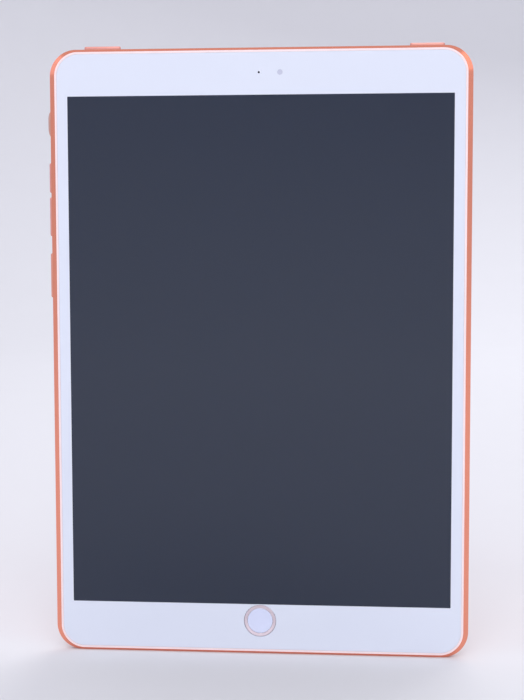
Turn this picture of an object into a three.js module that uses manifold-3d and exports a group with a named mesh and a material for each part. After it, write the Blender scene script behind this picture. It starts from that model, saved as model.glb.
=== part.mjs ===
// A tablet computer with a 4:3 screen, a round home button, side keys and a card tray.
//
// Millimetres. The screen faces -Y, +Z is up and +X is to the right of someone who faces the screen.
// The origin is the centre of the flat back face. A depth is a distance in front of it, so y = -depth.
import * as THREE from "three";
import { mergeVertices } from "three/addons/utils/BufferGeometryUtils.js";
import Module from "manifold-3d";

const wasm = await Module();
wasm.setup();

// ---------------------------------------------------------------------------------------------
// Driving dimensions
// ---------------------------------------------------------------------------------------------

// Housing
const BODY_WIDTH = 175;
const BODY_HEIGHT = 254;
const BODY_DEPTH = 7;
const CORNER_RADIUS = 11;
const FLOOR = 0.9; // thickness of the flat back wall
const WALL = 2; // thickness of the side walls
const BACK_ROUND_WIDTH = 6.5; // the rounded back edge, across the back face
const BACK_ROUND_DEPTH = 4.2; // and along the depth
const BAY_ROUND_WIDTH = 5; // the same rounding on the inside
const BAY_ROUND_DEPTH = 3.2;
const CHAMFER_WIDTH = 0.9; // the cut edge beside the glass, across the front
const CHAMFER_DEPTH = 0.7;
const RIM = 1.8; // front rim at top and bottom, from the body's edge to the glass pocket
const SIDE_RIM_EXTRA = 1; // the rim and the ledge are this much wider at left and right
const LEDGE_REACH = 3.6; // how far the ledge under the glass comes in from the body's edge
const LEDGE_THICK = 0.8;

// Fits
const STACK_GAP = 0.05; // between sheets that lie on each other
const GLASS_GAP = 0.15; // between the glass and the pocket's wall
const KEY_GAP = 0.12; // round a key in its slot
const INLAY_GAP = 0.1; // round an inlay in its groove
const BUTTON_GAP = 0.15; // round the home button in the glass

// Screen stack
const GLASS_THICK = 0.9;
const MASK_THICK = 0.1;
const ADHESIVE_THICK = 0.15;
const ADHESIVE_WIDTH = 1.2;
const SCREEN_WIDTH = 160.1;
const SCREEN_HEIGHT = 213.4;
const SCREEN_CORNER = 0.3;
const SCREEN_Z = 1; // centre of the screen above the centre of the body
const PANEL_BORDER = 1.2; // the panel beyond the lit area
const PANEL_CORNER = 0.6;
const PANEL_THICK = 0.8;
const BACKLIGHT_THICK = 0.7;
const PLATE_THICK = 0.2;
const PLATE_SHRINK = 0.3; // the plate lies this far inside the panel's edge
const DISPLAY_FLEX_WIDTH = 24;

// Home button
const HOME_FROM_BOTTOM = 14.2; // centre of the button above the bottom edge
const HOME_RADIUS = 6.7;
const HOME_RING_WIDTH = 1.35;
const HOME_DISH = 0.15; // how far the disc lies below the ring
const HOME_TRAVEL = 0.25;
const CARRIER_WIDTH = 18;
const CARRIER_HEIGHT = 10;
const CARRIER_THICK = 0.45;
const BRACKET_THICK = 0.3;
const BRACKET_LEG = 1;
const HOME_SWITCH_RADIUS = 2.2;
const HOME_SWITCH_THICK = 0.35;

// Things behind the top of the glass
const FRONT_PARTS_FROM_TOP = 10.2;
const FRONT_CAMERA_X = 0;
const FRONT_CAMERA_APERTURE = 0.5; // radius
const LIGHT_SENSOR_X = 8.7;
const LIGHT_SENSOR_APERTURE = 1.2; // radius
// A housing behind and a barrel against the ink; depths are counted back from the ink.
const FRONT_CAMERA = { width: 7, height: 6.4, back: 2.8, front: 1, barrel: 2.4 };
const LIGHT_SENSOR = { width: 4, height: 3.4, back: 1.5, front: 0.6, barrel: 1.5 };
const BARREL_OVERLAP = 0.1;

// Keys: each has a length along its edge and a height above it
const KEY_DEPTH = 3.7; // depth of the keys' centre line
const KEY_WIDTH = 2.2;
const KEY_CORNER = 0.9;
const KEY_TRAVEL = 0.4;
const KEY_FLANGE = 0.7; // how far the flange reaches past each end of the cap
const KEY_FLANGE_THICK = 0.5;
const POWER_FROM_LEFT = 22;
const FUNCTION_FROM_RIGHT = 18.6;
const MUTE_FROM_TOP = 30.4;
const VOLUME_UP_FROM_TOP = 52.8;
const VOLUME_DOWN_FROM_TOP = 69.05;
const POWER_KEY = { name: "power", edge: "top", length: 15.2, proud: 1.35 };
const FUNCTION_KEY = { name: "function", edge: "top", length: 14.2, proud: 1.15 };
const VOLUME_UP_KEY = { name: "volume_up", edge: "left", length: 12.4, proud: 1 };
const VOLUME_DOWN_KEY = { name: "volume_down", edge: "left", length: 16.3, proud: 1 };
const MUTE = { name: "mute", edge: "left", length: 10.8, proud: 1.3 };
const MUTE_TRAVEL = 2;
const SWITCH_LENGTH = 5;
const SWITCH_THICK = 1.1;
const SWITCH_NARROWER = 0.4; // than the key
const FLEX_THICK = 0.2;
const FLEX_NARROWER = 0.2;
const SMALL_CORNER = 0.3;

// Card tray
const TRAY_FROM_TOP = 93.7;
const TRAY_LENGTH = 18.6;
const TRAY_PROUD = 1;
const TRAY_FACE = 1.2; // how far the face plate sinks into the wall
const CARRIER_BLADE_WIDTH = 14.4;
const CARRIER_BLADE_THICK = 0.7;
const CARRIER_BLADE_LENGTH = 19.3;
const CARRIER_BLADE_CORNER = 0.2;
const CARRIER_BLADE_OVERLAP = 0.2; // into the face plate
const CARD_WIDTH = 12.4;
const CARD_HEIGHT = 8.9;
const CARD_RIM = 1.2; // the tray beyond the card at its inner end
const CARD_SHELF = 0.15; // how far the card's floor lies behind the middle of the tray
const EJECT_RADIUS = 0.45;
const EJECT_FROM_END = 2.4;
const READER_LENGTH = 19.5;
const READER_WIDTH = 17.2;
const READER_FROM_WALL = 1.5;

// Bottom edge
const PORT_DEPTH = 3.4;
const PORT_WIDTH = 8.9;
const PORT_THICK = 3.2;
const PORT_WALL = 0.3;
const PORT_REACH = 7.5;
const TONGUE_WIDTH = 6.6;
const TONGUE_THICK = 0.7;
const TONGUE_CORNER = 0.2;
const TONGUE_RECESS = 0.6; // how far the tongue ends inside the mouth
const PORT_BOARD_WIDTH = 16;
const PORT_BOARD_HEIGHT = 12;
const JACK_FROM_LEFT = 21;
const JACK_DEPTH = 3.5;
const JACK_BORE = 1.8; // radius
const JACK_RADIUS = 2.35;
const JACK_LENGTH = 14;
const SPEAKER_X = 36;
const SPEAKER_WIDTH = 34;
const SPEAKER_HEIGHT = 16;
const SPEAKER_GAP = 1.7; // from the inside of the wall
const SPEAKER_BACK = 2.05; // depth
const SPEAKER_HOLES = 9;
const SPEAKER_HOLE_RADIUS = 0.65;
const SPEAKER_HOLE_PITCH = 2.8;
const SPEAKER_MESH_THICK = 0.3;
const SPEAKER_MESH_WIDTH = 1.6; // along the depth
const MICROPHONE_X = 12;
const MICROPHONE_HOLE = 0.5; // radius
const MICROPHONE_LENGTH = 3.2;
const MICROPHONE_HEIGHT = 2.2;

// Back
const CAMERA_FROM_SIDE = 15;
const CAMERA_FROM_TOP = 13;
const CAMERA_RING_RADIUS = 4.6;
const CAMERA_RING_WIDTH = 0.8;
const CAMERA_WINDOW_BACK = 0.1; // depth of the window's outer face
const CAMERA_MODULE = 9.5;
const FLASH_FROM_CAMERA = 12;
const FLASH_RADIUS = 2;
const BAND_FROM_TOP = 29;
const BAND_LENGTH = 150;
const BAND_WIDTH = 1.4;
const BAND_THICK = 0.4;

const ANTENNA_LENGTH = 34;
const ANTENNA_HEIGHT = 9;
const ANTENNA_THICK = 0.3;
const ANTENNA_ABOVE_BAND = 12;
const WIFI_ANTENNA_X = -20;
const CELLULAR_ANTENNA_X = 28;

// Power and electronics
const CELL_WIDTH = 61;
const CELL_HEIGHT = 196;
const CELL_THICK = 2.7;
const CELL_Z = -4;
const CELL_SPACING = 63.5;
const CELL_CORNER = 2;
const CELL_X = 17; // middle of the pair
const PAD_THICK = 0.15;
const PAD_SIDE_MARGIN = 4; // the cell beyond the pad
const PAD_END_MARGIN = 10;
const BATTERY_BOARD_HEIGHT = 5;
const BATTERY_BOARD_BACK = 1.5; // depths
const BATTERY_BOARD_FRONT = 2.7;
const BOARD_FROM_LEFT = 6.5; // from the body's edge to the board's
const BOARD_FROM_TOP = 17;
const BOARD_WIDTH = 28;
const BOARD_HEIGHT = 212;
const BOARD_THICK = 0.8;
const BOARD_STANDOFF = 0.3;
const SCREW_INSET = 2.6;
const SCREW_HEAD = 1.5; // radius
const SCREW_HEAD_THICK = 0.6;
const SCREW_SHANK = 0.6; // radius
const CHIP_THICK = 0.9;
const PROCESSOR_SIZE = 14;
const PROCESSOR_SHIELD = { width: 22, height: 26 };
const RADIO_SHIELD = { width: 20, height: 24 };
const STORAGE_WIDTH = 12;
const STORAGE_HEIGHT = 16;
const PROCESSOR_BELOW_TRAY = 45.3;
const STORAGE_BELOW_TRAY = 77.3;
const RADIO_ABOVE_TRAY = 30.7;
const SHIELD_HEIGHT = 1.4;
const SHIELD_SKIN = 0.2;

// ---------------------------------------------------------------------------------------------
// Places worked out from the sizes above
// ---------------------------------------------------------------------------------------------

const LEFT = -BODY_WIDTH / 2;
const RIGHT = BODY_WIDTH / 2;
const TOP = BODY_HEIGHT / 2;
const BOTTOM = -BODY_HEIGHT / 2;
POWER_KEY.centre = LEFT + POWER_FROM_LEFT;
FUNCTION_KEY.centre = RIGHT - FUNCTION_FROM_RIGHT;
MUTE.centre = TOP - MUTE_FROM_TOP;
VOLUME_UP_KEY.centre = TOP - VOLUME_UP_FROM_TOP;
VOLUME_DOWN_KEY.centre = TOP - VOLUME_DOWN_FROM_TOP;
const TRAY_Z = TOP - TRAY_FROM_TOP;
const HOME_Z = BOTTOM + HOME_FROM_BOTTOM;
const FRONT_PARTS_Z = TOP - FRONT_PARTS_FROM_TOP;
const JACK_X = LEFT + JACK_FROM_LEFT;
const CAMERA_X = RIGHT - CAMERA_FROM_SIDE;
const CAMERA_Z = TOP - CAMERA_FROM_TOP;
const FLASH_X = CAMERA_X - FLASH_FROM_CAMERA;
const BAND_Z = TOP - BAND_FROM_TOP;
const BOARD_X = LEFT + BOARD_FROM_LEFT + BOARD_WIDTH / 2;
const BOARD_Z = TOP - BOARD_FROM_TOP - BOARD_HEIGHT / 2;

const GLASS_BACK = BODY_DEPTH - GLASS_THICK;
const MASK_FRONT = GLASS_BACK - STACK_GAP;
const MASK_BACK = MASK_FRONT - MASK_THICK;
const UNDER_MASK = MASK_BACK - STACK_GAP;
const LEDGE_FRONT = UNDER_MASK - ADHESIVE_THICK - STACK_GAP;
const LEDGE_BACK = LEDGE_FRONT - LEDGE_THICK;
const PANEL_BACK = UNDER_MASK - PANEL_THICK;
const BACKLIGHT_FRONT = PANEL_BACK - STACK_GAP;
const BACKLIGHT_BACK = BACKLIGHT_FRONT - BACKLIGHT_THICK;
const PLATE_FRONT = BACKLIGHT_BACK - STACK_GAP;
const PLATE_BACK = PLATE_FRONT - PLATE_THICK;
const ON_FLOOR = FLOOR + STACK_GAP;
const CELL_BACK = ON_FLOOR + PAD_THICK + STACK_GAP;
const CELL_FRONT = CELL_BACK + CELL_THICK;
const BOARD_BACK = FLOOR + BOARD_STANDOFF;
const BOARD_FRONT = BOARD_BACK + BOARD_THICK;
const ON_BOARD = BOARD_FRONT + STACK_GAP;
const SWITCH_FACE = WALL + KEY_FLANGE_THICK + KEY_TRAVEL + 2 * STACK_GAP;
const SCREEN_TOP = SCREEN_Z + SCREEN_HEIGHT / 2 + PANEL_BORDER;

const FINE = 32; // sides of a round piece that is seen
const COARSE = 16; // sides of a hidden one
const SMALL_HOLE = 12; // sides of a small hole
const BACK_EDGE_STEPS = 5; // rows of faces across the rounded back edge
const BAY_EDGE_STEPS = 3; // and across the same rounding inside
const BODY_STEPS = 4; // half the straight pieces in each rounded corner of the body
const KEY_STEPS = 2; // of a key or a port
const PLAIN_STEPS = 1; // of a hidden piece
const OVERRUN = 1; // how far a cutting tool passes the faces it cuts

// ---------------------------------------------------------------------------------------------
// Materials
// ---------------------------------------------------------------------------------------------

const paint = (color, roughness, metalness = 0) =>
  new THREE.MeshStandardMaterial({ color, roughness, metalness });
const MATERIALS = {
  aluminium: paint(0xd6a59d, 0.38, 0.9),
  polished: paint(0xe6b8b0, 0.15, 1),
  glass: paint(0xdfe4f8, 0.05),
  mask: paint(0xe6eaf8, 0.4),
  panel: paint(0x3c4252, 0.1),
  film: paint(0xe8e8e4, 0.5),
  steel: paint(0xb9bcc0, 0.35, 1),
  lens: paint(0x0c0d12, 0.05),
  button: paint(0xd6dcf6, 0.2),
  cell: paint(0x24262a, 0.6),
  pad: paint(0xf0f0ea, 0.8),
  board: paint(0x1d3b2c, 0.5),
  chip: paint(0x15161a, 0.45),
  flex: paint(0xa8672a, 0.4),
  plastic: paint(0x1c1d20, 0.5),
  band: paint(0xe3c2bb, 0.5),
  mesh: paint(0x35363a, 0.6, 0.6),
  gold: paint(0xd8b25c, 0.3, 1),
  gasket: paint(0x2a2b2e, 0.9),
};

// ---------------------------------------------------------------------------------------------
// Shapes
// ---------------------------------------------------------------------------------------------

// A rectangle with round corners, centred on a point of the shape's own plane.
function roundedRect(width, height, radius, x = 0, y = 0) {
  const right = width / 2 - radius;
  const top = height / 2 - radius;
  const shape = new THREE.Shape();
  shape.absarc(x + right, y + top, radius, 0, Math.PI / 2);
  shape.absarc(x - right, y + top, radius, Math.PI / 2, Math.PI);
  shape.absarc(x - right, y - top, radius, Math.PI, 1.5 * Math.PI);
  shape.absarc(x + right, y - top, radius, 1.5 * Math.PI, 2 * Math.PI);
  shape.closePath();
  return shape;
}

// A flat piece: a shape drawn in X and Z, filled between two depths.
function sheet(shape, back, front, steps = BODY_STEPS) {
  const geometry = new THREE.ExtrudeGeometry(shape, {
    depth: front - back,
    bevelEnabled: false,
    curveSegments: steps,
  });
  return geometry.translate(0, 0, back).rotateX(Math.PI / 2);
}

// The same with both ends drawn in over an elliptical or straight edge, within the shape's outline.
function drawnSheet(shape, back, front, [edgeWidth, edgeDepth], edgeSteps) {
  const geometry = new THREE.ExtrudeGeometry(shape, {
    depth: front - back - 2 * edgeDepth,
    bevelThickness: edgeDepth,
    bevelSize: edgeWidth,
    bevelOffset: -edgeWidth,
    bevelSegments: edgeSteps,
    curveSegments: BODY_STEPS,
  });
  return geometry.translate(0, 0, back + edgeDepth).rotateX(Math.PI / 2);
}

// A rectangular block between two depths, centred on x and z.
function block(width, height, x, z, back, front) {
  return new THREE.BoxGeometry(width, front - back, height).translate(x, -(back + front) / 2, z);
}

// A round disc between two depths.
function disc(radius, x, z, back, front, sides = FINE) {
  const cylinder = new THREE.CylinderGeometry(radius, radius, front - back, sides);
  return cylinder.translate(x, -(back + front) / 2, z);
}

// A round bar along Z.
function uprightBar(radius, x, depth, bottom, top, sides = COARSE) {
  const bar = new THREE.CylinderGeometry(radius, radius, top - bottom, sides).rotateX(Math.PI / 2);
  return bar.translate(x, -depth, (bottom + top) / 2);
}

// The body's edges: the direction of a drawing's first axis, the way out, and where the edge's face is.
const EDGES = {
  left: { along: [0, 0, -1], out: [-1, 0, 0], face: -LEFT },
  top: { along: [-1, 0, 0], out: [0, 0, 1], face: TOP },
  bottom: { along: [1, 0, 0], out: [0, 0, -1], face: -BOTTOM },
};

// A shape drawn along an edge and the depth, filled between two heights over the edge's face.
// The shape is centred on the edge's position and on the given depth; heights inside the wall are negative.
function edgePiece(edgeName, centre, depth, shape, inner, outer, steps = KEY_STEPS) {
  const edge = EDGES[edgeName];
  const along = new THREE.Vector3(...edge.along);
  const out = new THREE.Vector3(...edge.out);
  const place = new THREE.Matrix4().makeBasis(along, new THREE.Vector3(0, -1, 0), out);
  const position = along.clone().multiplyScalar(centre * Math.sign(along.x + along.y + along.z));
  position.addScaledVector(out, edge.face + inner);
  position.y = -depth;
  place.setPosition(position);
  const geometry = new THREE.ExtrudeGeometry(shape, {
    depth: outer - inner,
    bevelEnabled: false,
    curveSegments: steps,
  });
  return geometry.applyMatrix4(place);
}

// ---------------------------------------------------------------------------------------------
// Cutting and joining
// ---------------------------------------------------------------------------------------------

function solid(geometry) {
  const plain = geometry.clone();
  plain.deleteAttribute("normal");
  plain.deleteAttribute("uv");
  const merged = mergeVertices(plain, 1e-4);
  return new wasm.Manifold(
    new wasm.Mesh({
      numProp: 3,
      vertProperties: new Float32Array(merged.attributes.position.array),
      triVerts: new Uint32Array(merged.index.array),
    }),
  );
}

function geometryOf(body) {
  const mesh = body.getMesh();
  const geometry = new THREE.BufferGeometry();
  geometry.setAttribute("position", new THREE.BufferAttribute(mesh.vertProperties, 3));
  geometry.setIndex(new THREE.BufferAttribute(mesh.triVerts, 1));
  geometry.computeVertexNormals();
  return geometry;
}

const join = (...geometries) => geometries.map(solid).reduce((whole, next) => whole.add(next));
const cut = (whole, ...tools) => tools.reduce((rest, tool) => rest.subtract(solid(tool)), whole);

const tablet = new THREE.Group();

// Adds a piece to the tablet, from a geometry or from a cut solid.
function add(name, piece, material) {
  const geometry = piece.isBufferGeometry ? piece : geometryOf(piece);
  const mesh = new THREE.Mesh(geometry, material);
  mesh.name = name;
  tablet.add(mesh);
}

// ---------------------------------------------------------------------------------------------
// Keys and their slots
// ---------------------------------------------------------------------------------------------

const keyOutline = (length, width = KEY_WIDTH) => roundedRect(length, width, KEY_CORNER);
const PUSH_KEYS = [POWER_KEY, FUNCTION_KEY, VOLUME_UP_KEY, VOLUME_DOWN_KEY];

// A cap that stands proud of the edge, with a flange behind the wall that keeps it in.
function keyBody(key) {
  const back = -WALL - 2 * STACK_GAP;
  const cap = edgePiece(key.edge, key.centre, KEY_DEPTH, keyOutline(key.length), back, key.proud);
  const flange = edgePiece(
    key.edge,
    key.centre,
    KEY_DEPTH,
    keyOutline(key.length + 2 * KEY_FLANGE),
    -WALL - STACK_GAP - KEY_FLANGE_THICK,
    -WALL - STACK_GAP,
  );
  return join(cap, flange);
}

// The slot through the wall and the milled pocket behind it; a sliding key needs room along the edge.
function keyTools(key, slide = 0) {
  const centre = key.centre - slide / 2;
  const slot = keyOutline(key.length + slide + 2 * KEY_GAP, KEY_WIDTH + 2 * KEY_GAP);
  const pocket = roundedRect(
    key.length + slide + 2 * KEY_FLANGE + 2 * KEY_GAP + OVERRUN,
    KEY_WIDTH + 2 * KEY_GAP,
    KEY_CORNER,
  );
  return [
    edgePiece(key.edge, centre, KEY_DEPTH, slot, -WALL - OVERRUN, key.proud + OVERRUN),
    edgePiece(key.edge, centre, KEY_DEPTH, pocket, -WALL - 3 * OVERRUN, -WALL, PLAIN_STEPS),
  ];
}

// The electrical switch behind a key, and the strip of flexible circuit that carries it.
function keySwitch(key, length) {
  const outline = roundedRect(length, KEY_WIDTH - SWITCH_NARROWER, SMALL_CORNER);
  const back = -SWITCH_FACE - SWITCH_THICK;
  return edgePiece(key.edge, key.centre, KEY_DEPTH, outline, back, -SWITCH_FACE, PLAIN_STEPS);
}

function keyFlex(edge, centre, length) {
  const outline = roundedRect(length, KEY_WIDTH - FLEX_NARROWER, SMALL_CORNER);
  const face = SWITCH_FACE + SWITCH_THICK + STACK_GAP;
  return edgePiece(edge, centre, KEY_DEPTH, outline, -face - FLEX_THICK, -face, PLAIN_STEPS);
}

function addKeys() {
  for (const key of PUSH_KEYS) {
    add(key.name + "_key", keyBody(key), MATERIALS.polished);
    add(key.name + "_switch", keySwitch(key, SWITCH_LENGTH), MATERIALS.plastic);
  }
  add("mute_slider", keyBody(MUTE), MATERIALS.polished);
  add("mute_switch", keySwitch(MUTE, MUTE.length), MATERIALS.plastic);
  for (const key of [POWER_KEY, FUNCTION_KEY]) {
    add(key.name + "_key_flex", keyFlex("top", key.centre, key.length), MATERIALS.flex);
  }
  const low = VOLUME_DOWN_KEY.centre - VOLUME_DOWN_KEY.length / 2;
  const high = MUTE.centre + MUTE.length / 2;
  add("side_key_flex", keyFlex("left", (low + high) / 2, high - low), MATERIALS.flex);
}

// ---------------------------------------------------------------------------------------------
// Card tray
// ---------------------------------------------------------------------------------------------

const TRAY_DEPTH = (ON_BOARD + PLATE_BACK) / 2; // depth of the card
const READER_FRONT = PLATE_BACK - STACK_GAP;
const blade = (margin) => {
  const width = CARRIER_BLADE_WIDTH + 2 * margin;
  return roundedRect(width, CARRIER_BLADE_THICK + 2 * margin, CARRIER_BLADE_CORNER);
};

function trayBody() {
  const inner = -TRAY_FACE - CARRIER_BLADE_LENGTH;
  const face = edgePiece("left", TRAY_Z, KEY_DEPTH, keyOutline(TRAY_LENGTH), -TRAY_FACE, TRAY_PROUD);
  const outer = -TRAY_FACE + CARRIER_BLADE_OVERLAP;
  const carrier = edgePiece("left", TRAY_Z, TRAY_DEPTH, blade(0), inner, outer);
  const cardX = LEFT - inner - CARD_RIM - CARD_HEIGHT / 2;
  const card = block(CARD_HEIGHT, CARD_WIDTH, cardX, TRAY_Z, TRAY_DEPTH - CARD_SHELF, BODY_DEPTH);
  const ejectZ = TRAY_Z - TRAY_LENGTH / 2 + EJECT_FROM_END;
  const eject = new THREE.CylinderGeometry(EJECT_RADIUS, EJECT_RADIUS, 3 * TRAY_FACE + TRAY_PROUD, COARSE)
    .rotateZ(Math.PI / 2)
    .translate(LEFT, -KEY_DEPTH, ejectZ);
  return cut(join(face, carrier), card, eject);
}

function trayTools() {
  const outline = keyOutline(TRAY_LENGTH + 2 * KEY_GAP, KEY_WIDTH + 2 * KEY_GAP);
  const pin = edgePiece(
    "left",
    TRAY_Z - TRAY_LENGTH / 2 + EJECT_FROM_END,
    KEY_DEPTH,
    roundedRect(2 * EJECT_RADIUS, 2 * EJECT_RADIUS, SMALL_CORNER),
    -WALL - OVERRUN,
    0,
  );
  return [
    edgePiece("left", TRAY_Z, KEY_DEPTH, outline, -TRAY_FACE - STACK_GAP, TRAY_PROUD + OVERRUN),
    edgePiece("left", TRAY_Z, TRAY_DEPTH, blade(KEY_GAP), -WALL - 3 * OVERRUN, 0),
    pin,
  ];
}

function cardReader() {
  const left = LEFT + WALL + READER_FROM_WALL;
  const middle = left + READER_LENGTH / 2;
  const shell = block(READER_LENGTH, READER_WIDTH, middle, TRAY_Z, ON_BOARD, READER_FRONT);
  const slotWidth = CARRIER_BLADE_WIDTH + 4 * KEY_GAP;
  const slotLength = READER_LENGTH - SHIELD_SKIN;
  const slot = block(
    slotLength + OVERRUN,
    slotWidth,
    left + (slotLength - OVERRUN) / 2,
    TRAY_Z,
    ON_BOARD + SHIELD_SKIN,
    READER_FRONT - SHIELD_SKIN,
  );
  return cut(solid(shell), slot);
}

function addCardTray() {
  add("card_tray", trayBody(), MATERIALS.polished);
  add("card_reader", cardReader(), MATERIALS.steel);
}

// ---------------------------------------------------------------------------------------------
// Housing
// ---------------------------------------------------------------------------------------------

const PAST_FRONT = 4 * BODY_DEPTH; // far enough in front for a form's other rounded end to be cut off
const bodyOutline = (inset, sideExtra = 0) =>
  roundedRect(
    BODY_WIDTH - 2 * (inset + sideExtra),
    BODY_HEIGHT - 2 * inset,
    Math.max(CORNER_RADIUS - inset, 1),
  );
// The pocket, the glass and the ledge stand further in at left and right.
const frontOutline = (inset) => bodyOutline(inset, SIDE_RIM_EXTRA);

// The outer form: a rounded back edge from one sheet, and the chamfer beside the glass from another.
function outerForm() {
  const backEdge = [BACK_ROUND_WIDTH, BACK_ROUND_DEPTH];
  const rounded = drawnSheet(bodyOutline(0), 0, PAST_FRONT, backEdge, BACK_EDGE_STEPS);
  const chamfer = [CHAMFER_WIDTH, CHAMFER_DEPTH];
  const chamfered = drawnSheet(bodyOutline(0), -BODY_DEPTH, BODY_DEPTH, chamfer, 1);
  return solid(rounded).intersect(solid(chamfered));
}

// The bay for the electronics, closed in front by the ledge's underside.
function bay() {
  const bayEdge = [BAY_ROUND_WIDTH, BAY_ROUND_DEPTH];
  const rounded = drawnSheet(bodyOutline(WALL), FLOOR, PAST_FRONT, bayEdge, BAY_EDGE_STEPS);
  const below = block(2 * BODY_WIDTH, 2 * BODY_HEIGHT, 0, 0, 0, LEDGE_BACK);
  return solid(rounded).intersect(solid(below));
}

const SPEAKER_MESH_LENGTH = (SPEAKER_HOLES - 1) * SPEAKER_HOLE_PITCH + 4 * SPEAKER_HOLE_RADIUS;
const speakerHoleXs = (side) =>
  Array.from(
    { length: SPEAKER_HOLES },
    (_, i) => side * SPEAKER_X + (i - (SPEAKER_HOLES - 1) / 2) * SPEAKER_HOLE_PITCH,
  );

// A flat pocket milled into the inside of the bottom wall, for a mesh or a microphone.
function bottomPocket(x, length) {
  const outline = roundedRect(length + 2 * KEY_GAP, SPEAKER_MESH_WIDTH + 2 * KEY_GAP, SMALL_CORNER);
  return edgePiece("bottom", x, KEY_DEPTH, outline, -WALL - 3 * OVERRUN, -WALL, PLAIN_STEPS);
}

const portOutline = (margin) => {
  const thick = PORT_THICK + 2 * margin;
  return roundedRect(PORT_WIDTH + 2 * margin, thick, thick / 2.01);
};

function bottomEdgeTools() {
  const outside = BOTTOM - OVERRUN;
  const inside = BOTTOM + LEDGE_REACH + OVERRUN;
  const holes = [...speakerHoleXs(-1), ...speakerHoleXs(1)].map((x) =>
    uprightBar(SPEAKER_HOLE_RADIUS, x, KEY_DEPTH, outside, inside, SMALL_HOLE),
  );
  return [
    ...holes,
    bottomPocket(-SPEAKER_X, SPEAKER_MESH_LENGTH),
    bottomPocket(SPEAKER_X, SPEAKER_MESH_LENGTH),
    bottomPocket(MICROPHONE_X, MICROPHONE_LENGTH),
    uprightBar(MICROPHONE_HOLE, MICROPHONE_X, KEY_DEPTH, outside, inside, SMALL_HOLE),
    uprightBar(JACK_BORE, JACK_X, JACK_DEPTH, outside, inside, FINE),
    uprightBar(JACK_RADIUS + KEY_GAP, JACK_X, JACK_DEPTH, inside - OVERRUN, inside + JACK_LENGTH, FINE),
    edgePiece("bottom", 0, PORT_DEPTH, portOutline(KEY_GAP), -LEDGE_REACH - OVERRUN, OVERRUN),
  ];
}

const screwPlaces = [-1, 1].flatMap((side) =>
  [-1, 1].map((end) => [
    BOARD_X + side * (BOARD_WIDTH / 2 - SCREW_INSET),
    BOARD_Z + end * (BOARD_HEIGHT / 2 - SCREW_INSET),
  ]),
);

const screwHoles = (back, front) =>
  screwPlaces.map(([x, z]) => disc(SCREW_SHANK + KEY_GAP, x, z, back, front, SMALL_HOLE));

// The plastic line across the back that lets radio waves through, or the groove for it.
function antennaBand(margin, back, front) {
  const outline = roundedRect(BAND_LENGTH + 2 * margin, BAND_WIDTH + 2 * margin, BAND_WIDTH / 3, 0, BAND_Z);
  return sheet(outline, back, front, PLAIN_STEPS);
}

function rearHousing() {
  const glassPocket = sheet(frontOutline(RIM), LEDGE_FRONT, BODY_DEPTH + OVERRUN);
  const opening = sheet(frontOutline(LEDGE_REACH), LEDGE_BACK - OVERRUN / 2, BODY_DEPTH);
  const hollow = bay().add(solid(glassPocket)).add(solid(opening));
  const bosses = screwPlaces.map(([x, z]) =>
    disc(SCREW_HEAD, x, z, FLOOR - STACK_GAP, BOARD_BACK - STACK_GAP, COARSE),
  );
  const shell = bosses.reduce((whole, boss) => whole.add(solid(boss)), outerForm().subtract(hollow));
  return cut(
    shell,
    ...PUSH_KEYS.flatMap((key) => keyTools(key)),
    ...keyTools(MUTE, MUTE_TRAVEL),
    ...trayTools(),
    ...bottomEdgeTools(),
    ...screwHoles(FLOOR / 2, BOARD_BACK + OVERRUN),
    disc(CAMERA_RING_RADIUS + INLAY_GAP, CAMERA_X, CAMERA_Z, -OVERRUN, FLOOR + OVERRUN),
    disc(FLASH_RADIUS + INLAY_GAP, FLASH_X, CAMERA_Z, -OVERRUN, FLOOR + OVERRUN, COARSE),
    antennaBand(INLAY_GAP, -OVERRUN, BAND_THICK + INLAY_GAP),
  );
}

function addHousing() {
  add("rear_housing", rearHousing(), MATERIALS.aluminium);
  add("antenna_band", antennaBand(0, 0, BAND_THICK), MATERIALS.band);
}

// ---------------------------------------------------------------------------------------------
// Glass and screen
// ---------------------------------------------------------------------------------------------

const glassOutline = () => frontOutline(RIM + GLASS_GAP);
const homeHole = (back, front, gap = BUTTON_GAP) => disc(HOME_RADIUS + gap, 0, HOME_Z, back, front);

// A frame between two outlines.
function frame(outer, inner, back, front) {
  return cut(solid(sheet(outer, back, front)), sheet(inner, back - OVERRUN, front + OVERRUN));
}

function addGlass() {
  const plate = solid(sheet(glassOutline(), GLASS_BACK, BODY_DEPTH));
  add("cover_glass", cut(plate, homeHole(0, BODY_DEPTH + OVERRUN)), MATERIALS.glass);

  const window = roundedRect(SCREEN_WIDTH, SCREEN_HEIGHT, SCREEN_CORNER, 0, SCREEN_Z);
  const mask = cut(
    frame(glassOutline(), window, MASK_BACK, MASK_FRONT),
    homeHole(0, BODY_DEPTH),
    disc(FRONT_CAMERA_APERTURE, FRONT_CAMERA_X, FRONT_PARTS_Z, 0, BODY_DEPTH, COARSE),
    disc(LIGHT_SENSOR_APERTURE, LIGHT_SENSOR_X, FRONT_PARTS_Z, 0, BODY_DEPTH, COARSE),
  );
  add("bezel_mask", mask, MATERIALS.mask);

  const outerInset = LEDGE_REACH - ADHESIVE_WIDTH - STACK_GAP;
  const adhesive = frame(
    frontOutline(outerInset),
    frontOutline(outerInset + ADHESIVE_WIDTH),
    UNDER_MASK - ADHESIVE_THICK,
    UNDER_MASK,
  );
  add("glass_adhesive", adhesive, MATERIALS.gasket);
}

// A sheet of the screen stack, notched round the home button.
function screenLayer(back, front, shrink = 0) {
  const width = SCREEN_WIDTH + 2 * (PANEL_BORDER - shrink);
  const height = SCREEN_HEIGHT + 2 * (PANEL_BORDER - shrink);
  const outline = roundedRect(width, height, PANEL_CORNER, 0, SCREEN_Z);
  return cut(solid(sheet(outline, back, front, PLAIN_STEPS)), homeHole(0, BODY_DEPTH, 2 * BUTTON_GAP));
}

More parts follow.
